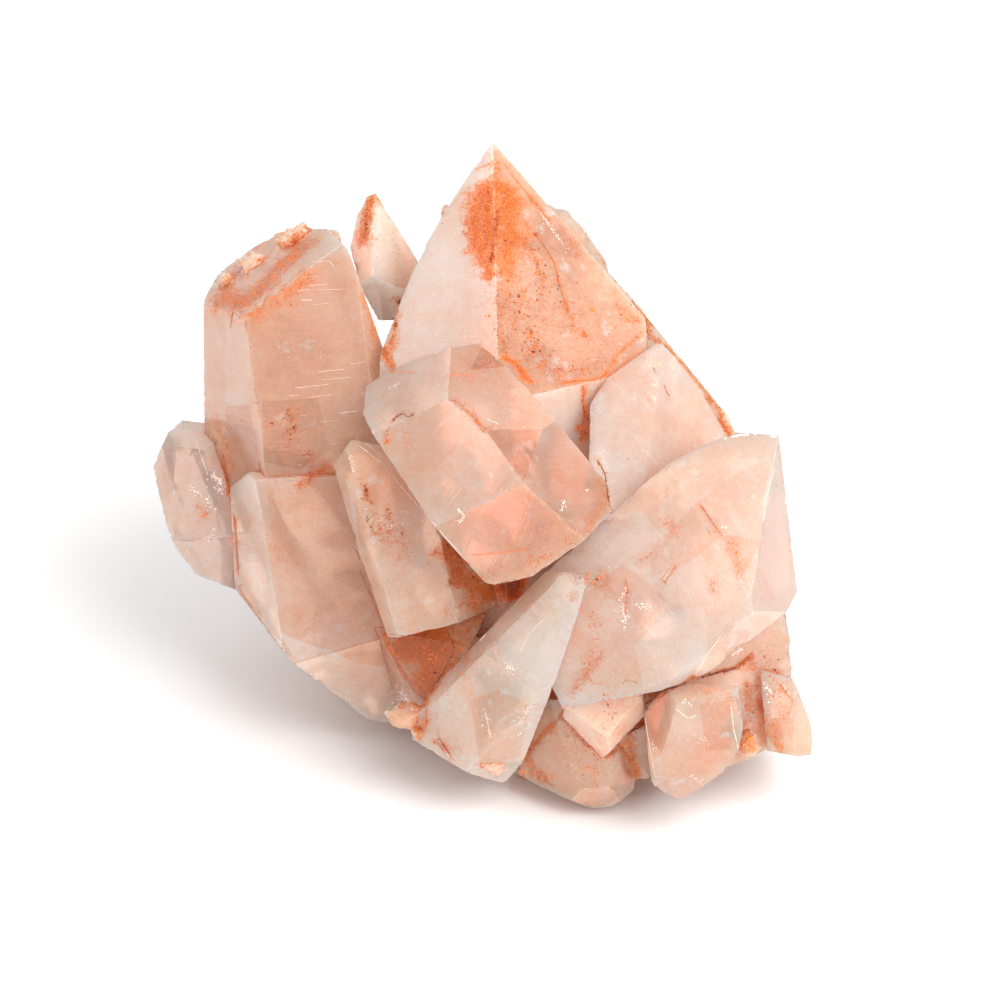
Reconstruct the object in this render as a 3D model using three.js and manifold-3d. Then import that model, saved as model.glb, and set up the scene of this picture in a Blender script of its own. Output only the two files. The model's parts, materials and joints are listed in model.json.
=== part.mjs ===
// Himalayan quartz: a broken-off group of quartz points grown together on a rough base.
// Millimetres, +Z up, the origin under the middle of the group, which rests on its sawn-flat foot.
//
// Each crystal is the space inside its flat faces. The front of the group is laid out the way a
// viewer sees it who looks down on it from the front, so a face or a corner is given by
//   x      millimetres to the right of the point looked at,
//   y      millimetres up the plane that is square to the line of sight there,
//   depth  millimetres from that plane toward the viewer.
// x and y are as seen, so a corner keeps its place in the view whatever its depth.

import * as THREE from 'three';
import Module from 'manifold-3d';
import { ConvexGeometry } from 'three/addons/geometries/ConvexGeometry.js';
import { mergeVertices } from 'three/addons/utils/BufferGeometryUtils.js';

const VIEW_ELEVATION = 30; // degrees that the viewer looks down
const VIEW_DISTANCE = 560; // from the viewer's eye to the point looked at
const VIEW_HEIGHT = 48; // of the point looked at above the table
const TIP_FACE_ANGLE = 38.2; // between a quartz tip face and the long axis, degrees
const UNEVEN = 0.12; // of a point's faces, against its radius
const LUMP_DETAIL = 4; // how finely a rock lump is divided
const BROAD_WAVE = 0.13; // height of the broad and the fine waves on a lump, against its radius
const FINE_WAVE = 0.06;
const CHIP_CORNERS = 10; // of a small broken flake
const CHIP_UNEVEN = 0.35; // of its corners, against its size
const GOLDEN_ANGLE = Math.PI * (3 - Math.sqrt(5)); // radians
const LARGE = 400; // wider than the whole group
const PARALLEL = 1e-6; // three faces with less volume than this meet in no corner
const ON_FACE = 1e-5; // corners this near a face lie on it
const SAME_CORNER = 0.02; // corners nearer than this are one
const MERGE = 1e-3; // vertices nearer than this are shared

const degrees = THREE.MathUtils.degToRad;
const wasm = await Module();
wasm.setup();

// Frame of the view

const eye = new THREE.Vector3(0, 0, VIEW_DISTANCE);

function seen([x, y, depth]) {
  const nearer = 1 - depth / VIEW_DISTANCE;
  return new THREE.Vector3(x * nearer, y * nearer, depth);
}

function toModel(point) {
  const tilt = degrees(VIEW_ELEVATION);
  return new THREE.Vector3(
    point.x,
    point.y * Math.sin(tilt) - point.z * Math.cos(tilt),
    point.y * Math.cos(tilt) + point.z * Math.sin(tilt) + VIEW_HEIGHT,
  );
}

// Faces: planes with their normal pointing out of the crystal

function planeAt(normal, point) {
  return new THREE.Plane().setFromNormalAndCoplanarPoint(normal.clone().normalize(), point);
}

// A face through one corner, whose depth grows by right and up for each millimetre in x and in y.
function sloping(corner, right, up) {
  return planeAt(new THREE.Vector3(-right, -up, 1), seen(corner));
}

// A face through three corners.
function through(a, b, c) {
  const plane = new THREE.Plane().setFromCoplanarPoints(seen(a), seen(b), seen(c));
  return plane.normal.z < 0 ? plane.negate() : plane;
}

// A prism face through one corner, holding the crystal's axis: the axis leans to the right of
// upright by lean and toward the viewer by toward, in degrees, and the face falls away to the right
// of the axis by fall for each millimetre.
function prismFace(corner, lean, toward, fall) {
  const x = Math.sin(degrees(lean));
  const y = Math.cos(degrees(lean));
  const rise = Math.tan(degrees(toward));
  return sloping(corner, rise * x - fall * y, rise * y + fall * x);
}

// Depth of the front faces where the viewer sees the point (x, y).
function onFront(faces, [x, y]) {
  const ray = seen([x, y, 0]).sub(eye);
  let farthest = -Infinity;
  for (const face of faces) {
    const slope = face.normal.dot(ray);
    if (slope < 0) farthest = Math.max(farthest, -face.distanceToPoint(eye) / slope);
  }
  return eye.clone().addScaledVector(ray, farthest);
}

// Walls that start on the seen outline and draw in behind it by flare degrees.
function walls(faces, outline, flare) {
  const rim = outline.map((point) => onFront(faces, point));
  const middle = rim.reduce((sum, point) => sum.add(point), new THREE.Vector3()).divideScalar(rim.length);
  return rim.map((start, index) => {
    const end = rim[(index + 1) % rim.length];
    const along = end.clone().sub(start).normalize();
    const away = start.clone().add(end).multiplyScalar(0.5).sub(eye).normalize();
    const out = along.clone().cross(away).normalize();
    if (out.dot(middle.clone().sub(start)) > 0) out.negate();
    const normal = out.multiplyScalar(Math.cos(degrees(flare)));
    normal.addScaledVector(away, Math.sin(degrees(flare)));
    normal.addScaledVector(along, -normal.dot(along));
    return planeAt(normal, start);
  });
}

// The faces parallel to the first front faces, each as far behind its own as the list says.
function opposite(faces, far) {
  return far.map((thickness, index) => {
    const { normal, constant } = faces[index];
    return new THREE.Plane(normal.clone().negate(), -constant - thickness);
  });
}

// Solids

function cornersOf(faces) {
  const corners = [];
  const [a, b] = [new THREE.Vector3(), new THREE.Vector3()];
  for (let i = 0; i < faces.length; i += 1) {
    for (let j = i + 1; j < faces.length; j += 1) {
      for (let k = j + 1; k < faces.length; k += 1) {
        const [p, q, r] = [faces[i], faces[j], faces[k]];
        a.crossVectors(q.normal, r.normal);
        const volume = p.normal.dot(a);
        if (Math.abs(volume) < PARALLEL) continue;
        const corner = a.clone().multiplyScalar(-p.constant);
        corner.addScaledVector(b.crossVectors(r.normal, p.normal), -q.constant);
        corner.addScaledVector(b.crossVectors(p.normal, q.normal), -r.constant);
        corner.divideScalar(volume);
        const inside = faces.every((face) => face.distanceToPoint(corner) < ON_FACE);
        const known = corners.some((other) => other.distanceTo(corner) < SAME_CORNER);
        if (inside && !known) corners.push(corner);
      }
    }
  }
  return corners;
}

function solidOf(geometry) {
  const bare = geometry.index ? geometry.clone() : geometry;
  bare.deleteAttribute('normal');
  bare.deleteAttribute('uv');
  const merged = mergeVertices(bare, MERGE);
  return new wasm.Manifold(new wasm.Mesh({
    numProp: 3,
    vertProperties: Float32Array.from(merged.attributes.position.array),
    triVerts: Uint32Array.from(merged.index.array),
  }));
}

function convexSolid(corners) {
  return solidOf(new ConvexGeometry(corners));
}

// A crystal of the front: its faces as seen, the outline that they end at, and how it ends behind:
// at faces as far behind the front ones as far lists, or square to the line of sight at back.
function frontCrystal({ faces, outline, flare, far = [], back }) {
  const planes = [...faces, ...walls(faces, outline, flare), ...opposite(faces, far)];
  if (back !== undefined) planes.push(new THREE.Plane(new THREE.Vector3(0, 0, -1), back));
  return convexSolid(cornersOf(planes).map(toModel));
}

// A whole quartz point: a six-sided prism with a six-sided tip, in the part's own frame. The axis
// leaves the vertical by tilt toward heading, radius is the mean distance of the prism faces from
// it, and the sizes of the faces are a little uneven, as they grow.
function quartzPoint({ tip, heading, tilt, turn, radius, length }) {
  const place = new THREE.Matrix4().makeRotationZ(degrees(heading));
  place.multiply(new THREE.Matrix4().makeRotationY(degrees(tilt)));
  place.multiply(new THREE.Matrix4().makeRotationZ(degrees(turn)));
  const planes = [planeAt(new THREE.Vector3(0, 0, -1), new THREE.Vector3(0, 0, -length))];
  const lie = Math.sin(degrees(TIP_FACE_ANGLE));
  const stand = Math.cos(degrees(TIP_FACE_ANGLE));
  for (let side = 0; side < 6; side += 1) {
    const around = degrees(side * 60);
    const uneven = Math.sin(2.4 * side + heading);
    const out = new THREE.Vector3(Math.cos(around), Math.sin(around), 0);
    planes.push(planeAt(out, out.clone().multiplyScalar(radius * (1 + UNEVEN * uneven))));
    const cap = new THREE.Vector3(out.x * stand, out.y * stand, lie);
    planes.push(planeAt(cap, new THREE.Vector3(0, 0, -UNEVEN * radius * Math.max(0, uneven))));
  }
  const at = new THREE.Vector3(...tip);
  return convexSolid(cornersOf(planes).map((corner) => corner.applyMatrix4(place).add(at)));
}

// A rough lump of broken rock: a ball whose surface is pushed in and out by a few crossing waves.
function rockLump({ centre, radii, phase }) {
  const ball = new THREE.IcosahedronGeometry(1, LUMP_DETAIL);
  const position = ball.attributes.position;
  const point = new THREE.Vector3();
  for (let index = 0; index < position.count; index += 1) {
    point.fromBufferAttribute(position, index).normalize();
    const { x, y, z } = point;
    const broad = Math.sin(3.1 * x + 2.3 * z + phase) * Math.cos(2.7 * y - 1.9 * x + 2 * phase);
    const fine = Math.sin(7.3 * y + 5.1 * x + 3 * phase) * Math.cos(6.1 * z - 4.7 * y + phase);
    point.multiplyScalar(1 + BROAD_WAVE * broad + FINE_WAVE * fine);
    point.multiply(new THREE.Vector3(...radii)).add(new THREE.Vector3(...centre));
    position.setXYZ(index, point.x, point.y, point.z);
  }
  return solidOf(ball);
}

// Front crystals, from the top of the group down

const mainPoint = {
  faces: [
    sloping([-1.2, 59.7, 4], 0.45, -0.3), // left tip face
    sloping([-1.2, 59.7, 4], -0.45, -0.32), // right tip face
    sloping([-11.7, 21, 11], 0.64, 0.47), // left prism face
    sloping([11.7, 18.8, 11.3], -0.64, 0.47), // right prism face
  ],
  outline: [
    [-1.2, 59.7], [-4.8, 54.8], [-8.5, 49.2], [-12.3, 42.7], [-15.2, 36.5], [-19.8, 24.7], [-20.5, 3.3],
    [-15, -20], [20, -20], [24.5, 28], [24.2, 30.3], [3, 55],
  ],
  flare: 8,
  far: [46, 46, 46, 46],
};

const ridgeTop = {
  faces: [sloping([12.5, 44.2, -9], -0.5, -0.3)],
  outline: [
    [6.7, 49.2], [8.7, 48.8], [11.5, 48.5], [13.5, 45.7], [17, 41.7], [17.7, 39.7], [26.7, 13.3], [3.3, 13.3],
  ],
  flare: 26,
  back: -40,
};

const ridgeMiddle = {
  faces: [sloping([20, 35.8, -7], -0.6, -0.3)],
  outline: [[14.2, 43.3], [17.7, 39.7], [23.7, 31.8], [28.7, 26.3], [33.3, 10], [10, 10]],
  flare: 26,
  back: -40,
};

const ridgeFoot = {
  faces: [sloping([33.3, 18.3, -3], -0.6, -0.3)],
  outline: [[22, 33.5], [28, 26.3], [37.8, 14.3], [39.7, 10.3], [38.3, -3.3], [16.7, -3.3]],
  flare: 20,
  back: -34,
};

const paleFace = {
  faces: [sloping([17.8, 20.3, 8.4], -0.3, -0.41), sloping([33.3, 16.7, 0.5], -0.9, -0.3)],
  outline: [
    [24.3, 30.2], [17.8, 20.3], [15, 18.3], [14.7, -3.3], [25, -3.3], [40, 3.3], [39.3, 10.7], [35.3, 16.7],
    [31.7, 20.8], [28, 26.8],
  ],
  flare: 8,
  back: -20,
};

const leftTower = {
  faces: [
    sloping([-33.3, 16.7, 3.5], 0, 0.214), // wide front face
    prismFace([-42.3, 28.3, 6], -7, 12, -1.73),
    through([-42.3, 31, 6.5], [-25.8, 42.8, 9.2], [-39.7, 40.8, -6]), // sloping top
    prismFace([-21.3, 33.3, 5], -7, 12, 1),
  ],
  outline: [
    [-49.3, 33.3], [-48.3, 35.5], [-47, 37.8], [-40.8, 42.3], [-35.3, 45.2], [-28.8, 45.2], [-25.3, 41.7],
    [-19.3, 24.7], [-19.3, -16.7], [-35.8, -25.8], [-44, -15], [-49.3, 12.5],
  ],
  flare: 8,
  far: [28],
};

const leftPoint = {
  faces: [
    through([-20.7, 51.2, -10], [-20.3, 39.7, -6], [-15.8, 35.8, -9]),
    through([-20.7, 51.2, -10], [-21.7, 39.7, -6], [-24.2, 43.3, -10]),
    sloping([-20.3, 33.3, -9], 0.4, 1.3),
    sloping([-17.5, 33.3, -10], -0.5, 1.2),
  ],
  outline: [
    [-20.7, 51.2], [-19, 49.7], [-13.8, 40], [-9.5, 33], [-10.5, 30.3], [-20.5, 30], [-23, 35], [-25, 42.2],
    [-23.8, 47.5], [-22.3, 50.5],
  ],
  flare: 12,
  back: -26,
};

const leftBud = {
  faces: [
    sloping([-50, 0, -12], 0.1, 0),
    sloping([-54.7, 3.3, -13], 1.3, -0.1),
    sloping([-45.8, 5, -13], -0.8, -0.5),
    sloping([-48.3, -7.5, -13], 0, 1),
    sloping([-49.2, 10, -14], -0.1, -1.2),
  ],
  outline: [
    [-53, 13.3], [-58, 5.3], [-55.8, -3.3], [-53.5, -8.7], [-51.3, -12.2], [-44, -15], [-41.7, 0],
    [-47.2, 11.7], [-49, 12.8],
  ],
  flare: 18,
  back: -30,
};

// The point in the middle looks at the viewer: its tip and the two ends of a short edge above it
const centreTip = [4, 2.7, 33];
const edgeLeft = [-2.2, 11.8, 29.3];
const edgeRight = [6.2, 11.8, 28];

const centrePoint = {
  faces: [
    sloping(centreTip, 0.45, -0.1), // wide left face
    sloping(centreTip, 0.25, 0.317), // under face
    sloping(centreTip, -0.449, -0.441), // right face
    through(centreTip, edgeLeft, edgeRight), // small dark triangle
    through(edgeLeft, edgeRight, [0.8, 22.2, 20]), // pale upper face
    through([-23.3, 10.5, 20], [-8.3, 17.3, 26], [-13.3, 23.7, 16]), // upper left face
  ],
  outline: [
    [-23.3, 10.5], [-22.3, 19], [-19.2, 21.3], [-13.3, 23.7], [-2.5, 26.3], [1.2, 22.2], [10.3, 14.7],
    [15.8, 7.5], [18, 5], [18.7, -1.7], [14.2, -6.7], [5.3, -12.8], [-0.8, -14.2], [-4.2, -13.3], [-10.5, -5],
  ],
  flare: 8,
  back: 0,
};

const slantBlade = {
  faces: [
    prismFace([-16.7, -10, 12], -12, 10, 0.1),
    prismFace([-10, -10, 12], -12, 10, 1.3),
    prismFace([-23, -5, 11], -15, 10, -2.2),
  ],
  outline: [
    [-27.8, 5.7], [-24.7, 10], [-3.3, 5], [1.7, -16.7], [-5.8, -20], [-10, -21.3], [-18.7, -22.8],
    [-23.3, -9.3],
  ],
  flare: 8,
  back: -16,
};

const leftBlock = {
  faces: [
    sloping([-33.3, -10, -1.2], 0.03, 0.2), // front face, almost level with the tower's
    prismFace([-38, -11.7, -1.2], -8, 12, -1.7),
    sloping([-33.3, 3.7, 1.4], 0.1, -1.4),
    sloping([-28.3, -28, -6.7], -0.2, 1),
  ],
  outline: [
    [-44.2, -15], [-45, 3.3], [-39.7, 5], [-26.7, 7.5], [-16.7, -23.3], [-13.3, -37.5], [-14.7, -38.5],
    [-25, -35.7], [-35.8, -25.8],
  ],
  flare: 15,
  back: -30,
};

const rightPoint = {
  faces: [
    sloping([31.7, -16.7, 21], 0.3, 0.03), // wide front face
    sloping([39.2, -21.3, 22.9], -0.57, 1.03), // under face
    through([46.5, 10.7, 14], [32.8, -0.3, 21.2], [40.3, -13, 23.1]), // left tip face
    through([46.5, 10.7, 14], [40.8, -12, 23.3], [49.5, -16.7, 19]), // right tip face
  ],
  outline: [
    [46.5, 10.8], [39.3, 11.3], [35.5, 9.8], [27.5, 5.8], [18.7, -2], [7.5, -12.2], [5, -23.3], [12, -38.3],
    [24.2, -34.3], [32.5, -29.8], [40.8, -27], [47.7, -18.8], [49.7, -16.7],
  ],
  flare: 16,
  far: [32, 32, 40, 40],
};

const frontBlade = {
  faces: [
    prismFace([3.3, -30, 16], 44, 30, -0.15), // wide face
    prismFace([8, -14.2, 22], 44, 30, -2.5),
    prismFace([9.3, -35.3, 12], 44, 30, 1.26),
    prismFace([11.8, -20, 24.5], 44, -6, -0.15),
    sloping([-3, -36.7, 13], 0.9, 0.5),
  ],
  outline: [
    [7.5, -12], [13.7, -12.5], [16.5, -18.7], [17.2, -23.3], [15, -31.7], [7.5, -40], [3.7, -44],
    [2.5, -47], [1, -48], [-4, -46], [-9.7, -43], [-14.7, -40], [-11.7, -31.7],
  ],
  flare: 12,
  back: -10,
};

const shortWedge = {
  faces: [
    sloping([17.2, -33.3, 13], 0.1, 0.3),
    sloping([15, -39.2, 9], 0.9, 1.4),
    sloping([20.8, -38.3, 10], -0.8, 1),
  ],
  outline: [[10.5, -36.3], [17, -43], [24.3, -35.7], [23.3, -30], [11.7, -30]],
  flare: 8,
  back: -14,
};

const footLump = {
  faces: [
    sloping([14.2, -44.2, 4], 0.15, 0.35),
    sloping([20, -46.7, 2], -0.9, 0.6),
    sloping([15, -49.2, 1], 0, 1.3),
    sloping([8.3, -43.3, 1], 0.8, 0.6),
  ],
  outline: [
    [6.7, -33.3], [17, -33.3], [21.2, -42], [22.8, -45.3], [22.2, -48.3], [19.7, -50.5], [17.8, -51.3],
    [14, -51.3], [11.5, -50.7], [5.8, -47.3], [3, -46],
  ],
  flare: 5,
  back: -16,
};

const lowPoint = {
  faces: [
    through([28.7, -36.7, 18], [39.7, -33.3, 16], [30.3, -49.2, 11]), // front face
    through([28.7, -36.7, 18], [27, -42.8, 15.5], [24, -35.7, 11]), // left edge face
    sloping([39.7, -35.8, 15.5], -1.6, 0.2),
    sloping([31.7, -33.3, 18.5], 0, -0.8),
    sloping([31.7, -47.5, 11.5], 0, 1.6),
  ],
  outline: [
    [24, -35.3], [26, -32.8], [32.2, -30.5], [39.5, -31], [40.5, -38], [39.8, -41.5], [37.3, -45.3],
    [29.8, -50], [25.7, -47.8], [25, -45.7],
  ],
  flare: 10,
  back: -6,
};

const rightRock = {
  faces: [sloping([45, -25, 8], -0.4, 0.3), sloping([31.7, -26.7, 13], 0.6, 0.4)],
  outline: [
    [28, -24], [47, -13], [47.7, -18.7], [48.8, -26.2], [48.3, -33.3], [44.2, -41.7], [40.3, -43.8],
    [37.3, -44.5], [30, -36.7],
  ],
  flare: 12,
  back: -20,
};

const rightSpur = {
  faces: [sloping([46.7, -33.3, 7], -0.3, 0.3), sloping([50, -36.7, 4], -1.2, 0.3)],
  outline: [
    [43.3, -28.3], [48.8, -29.7], [51.3, -35.8], [52.2, -39.2], [51.8, -42.5], [50.3, -42.7], [44.5, -41.8],
  ],
  flare: 14,
  back: -14,
};

const frontCrystals = [
  mainPoint, ridgeTop, ridgeMiddle, ridgeFoot, paleFace, leftTower, leftPoint, leftBud, centrePoint,
  slantBlade, leftBlock, rightPoint, frontBlade, shortWedge, footLump, lowPoint, rightRock, rightSpur,
];

// Points of the far side, that the viewer in front does not see

const farPoints = [
  { tip: [12, 55, 60], heading: 80, tilt: 38, turn: 10, radius: 11, length: 60 },
  { tip: [-18, 54, 40], heading: 105, tilt: 52, turn: 40, radius: 9, length: 50 },
  { tip: [36, 46, 40], heading: 48, tilt: 48, turn: 25, radius: 9, length: 50 },
  { tip: [-43, 38, 40], heading: 140, tilt: 50, turn: 5, radius: 8, length: 46 },
  { tip: [47, 20, 32], heading: 15, tilt: 62, turn: 35, radius: 7.5, length: 40 },
  { tip: [2, 60, 24], heading: 92, tilt: 74, turn: 15, radius: 7.5, length: 40 },
  { tip: [-33, 47, 20], heading: 125, tilt: 72, turn: 50, radius: 6.5, length: 34 },
  { tip: [28, 52, 18], heading: 62, tilt: 76, turn: 20, radius: 6.5, length: 34 },
];

// Rough broken rock that the points grow from

const baseLumps = [
  { centre: [10, 14, 8], radii: [26, 24, 22], phase: 0.4 },
  { centre: [-14, 22, 14], radii: [18, 16, 20], phase: 1.7 },
  { centre: [30, 14, 12], radii: [17, 17, 18], phase: 2.6 },
  { centre: [10, -4, 9], radii: [13, 12, 12], phase: 3.9 },
  { centre: [25, 0, 10], radii: [11, 10, 11], phase: 5.2 },
];

// Small broken corners that roughen the broken edges: where each is, its size, and how far it
// reaches across, up and toward the viewer, against that size

const chips = [
  { at: [-34.2, 44, -3.5], size: 2.8, reach: [1, 1, 1.2] }, // on the broken top of the left tower
  { at: [-28.2, 43.2, 0], size: 1.9, reach: [0.8, 1.1, 1] },
  { at: [-40.6, 39.4, -6], size: 2.6, reach: [1.3, 0.9, 1] },
  { at: [-45.4, 36.2, -7], size: 2, reach: [1.2, 0.9, 1] },
  { at: [-8, 47.3, 2], size: 2.4, reach: [1, 1, 1] }, // ledge on the left edge of the main point
  { at: [37, 12, -4], size: 2.2, reach: [1, 1, 1] }, // end of the broken ridge
  { at: [-15.3, -35.6, 1], size: 3.6, reach: [1.1, 0.8, 1] }, // along the broken foot of the front
  { at: [-11.5, -38.3, 1], size: 2.8, reach: [1.2, 0.8, 1] },
  { at: [-7, -40.8, 3], size: 2.6, reach: [1.3, 0.8, 1] },
  { at: [-1.5, -43.6, 4], size: 2.6, reach: [1.3, 0.8, 1] },
  { at: [46.6, -23.6, 4], size: 2.4, reach: [0.8, 1.2, 1] }, // along the broken right side
  { at: [41, -40.6, 6], size: 2.6, reach: [1.1, 0.8, 1] },
];

// A flake with flat faces: corners spread over a ball by the golden angle, each a little off it.
function chip({ at, size, reach }, index) {
  const shape = new THREE.Vector3(...reach).multiplyScalar(size);
  const corners = [];
  for (let turn = 0; turn < CHIP_CORNERS; turn += 1) {
    const height = 1 - (2 * turn + 1) / CHIP_CORNERS;
    const around = GOLDEN_ANGLE * turn + index;
    const ring = Math.sqrt(1 - height * height);
    const corner = new THREE.Vector3(ring * Math.cos(around), height, ring * Math.sin(around));
    corner.multiplyScalar(1 + CHIP_UNEVEN * Math.sin(5 * turn + 3 * index)).multiply(shape);
    corners.push(toModel(corner.add(seen(at))));
  }
  return convexSolid(corners);
}

// Flat-sided stained quartz that fills the creases between the front crystals: corners as seen

const fills = [
  [ // between the block, the slanting blade and the blade in front
    [-20.9, -21.4, -3],
    [-8, -21.3, 3],
    [-2.4, -19, 4],
    [-5, -24.6, 6],
    [-11.3, -34.2, 2],
    [-14.6, -34.4, -5],
    [-17.2, -33.2, -11.5],
    [-20.9, -21.4, -20],
    [-3.2, -19.2, -12],
    [-12.5, -34, -24],
  ],
  [ // between the foot, the wedge and the low point
    [19.5, -39.8, 8],
    [24.6, -37.5, 9],
    [25, -46.4, 5],
    [21.8, -46.6, 1],
    [20.5, -38.5, -12],
    [25, -44.5, -14],
  ],
];

function fill(corners) {
  return convexSolid(corners.map((corner) => toModel(seen(corner))));
}

const pieces = [
  ...frontCrystals.map(frontCrystal),
  ...fills.map(fill),
  ...farPoints.map(quartzPoint),
  ...baseLumps.map(rockLump),
  ...chips.map(chip),
];
const below = new THREE.BoxGeometry(LARGE, LARGE, LARGE);
below.translate(0, 0, -LARGE / 2);
const grown = pieces.reduce((whole, piece) => whole.add(piece));
const cluster = grown.subtract(solidOf(below));

function geometryOf(solid) {
  const mesh = solid.getMesh();
  const geometry = new THREE.BufferGeometry();
  geometry.setAttribute('position', new THREE.BufferAttribute(Float32Array.from(mesh.vertProperties), 3));
  geometry.setIndex(new THREE.BufferAttribute(Uint32Array.from(mesh.triVerts), 1));
  geometry.computeBoundingBox();
  const { min, max } = geometry.boundingBox;
  geometry.translate(-(min.x + max.x) / 2, -(min.y + max.y) / 2, -min.z);
  return geometry;
}

const quartz = new THREE.MeshStandardMaterial({ color: 0xebccbc, roughness: 0.2, metalness: 0 });
const crystalCluster = new THREE.Mesh(geometryOf(cluster), quartz);
crystalCluster.name = 'quartz_cluster';

const group = new THREE.Group();
group.add(crystalCluster);

export default group;
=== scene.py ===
import json
import math

import bmesh
import bpy
import numpy as np
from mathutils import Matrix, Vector, kdtree, noise
from mathutils.bvhtree import BVHTree

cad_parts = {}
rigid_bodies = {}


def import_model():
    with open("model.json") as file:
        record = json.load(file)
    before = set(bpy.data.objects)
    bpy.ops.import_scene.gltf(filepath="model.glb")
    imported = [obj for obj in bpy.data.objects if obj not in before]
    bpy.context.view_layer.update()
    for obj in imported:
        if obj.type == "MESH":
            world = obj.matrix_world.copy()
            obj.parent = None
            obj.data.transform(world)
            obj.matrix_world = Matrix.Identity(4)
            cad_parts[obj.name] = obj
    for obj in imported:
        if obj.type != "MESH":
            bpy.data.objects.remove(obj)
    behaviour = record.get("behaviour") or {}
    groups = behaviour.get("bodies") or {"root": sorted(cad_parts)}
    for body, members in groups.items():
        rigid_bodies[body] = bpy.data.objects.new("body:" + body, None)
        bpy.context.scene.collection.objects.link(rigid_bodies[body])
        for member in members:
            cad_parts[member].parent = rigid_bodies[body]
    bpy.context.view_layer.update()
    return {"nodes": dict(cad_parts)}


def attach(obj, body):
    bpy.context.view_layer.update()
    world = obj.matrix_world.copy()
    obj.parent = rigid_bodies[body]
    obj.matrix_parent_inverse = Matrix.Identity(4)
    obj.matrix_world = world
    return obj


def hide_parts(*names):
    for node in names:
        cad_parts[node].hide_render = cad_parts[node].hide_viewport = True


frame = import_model()

MM = 0.001

# The photo's camera: 30 degrees above the table, 6 pixels to the millimetre where it looks.
VIEW_ELEVATION = math.radians(30)
VIEW_DISTANCE = 560 * MM
VIEW_TARGET = Vector((3.81, -12.49, 48)) * MM
FOCAL_PIXELS = 3360
PHOTO_PIXELS = 1000
SENSOR_WIDTH = 36
RIGHT = Vector((1, 0, 0))
UP = Vector((0, math.sin(VIEW_ELEVATION), math.cos(VIEW_ELEVATION)))
BACK = Vector((0, -math.cos(VIEW_ELEVATION), math.sin(VIEW_ELEVATION)))

# Mesh
WELD = 0.001 * MM
FLAT_ANGLE = math.radians(0.4)
SLIVER = 0.03 * MM
CLEAR, MILKY, ROCK, FROSTED, GLASSY = range(5)
EDGE_SPACING = 0.9 * MM
FACE_SPACING = 3.0 * MM
ROCK_SPACING = 1.1 * MM
STAIN_SPACING = 0.8 * MM
CREASE_ANGLE = math.radians(2)
RIDGE_ANGLE = math.radians(8)
ROCK_FACET = 14 * MM * MM
PHOTO_SCALE = 6 / MM

# Grains: how many to the square pixel at full density, and the logarithm of their usual radius in mm
GRAIN_SHARE = 0.7
FLECK_SHARE = 0.5
GRAIN_SIZE = math.log(0.07)
FLECK_SIZE = math.log(0.065)
CREASE_GRAINS = 7000
DUST_GRAINS = 2500
DUST_SIZE = math.log(0.06)

# The widest that a fine line may lie across a face; further apart, its sides lie on different faces
LINE_REACH = 1.5 * MM

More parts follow.
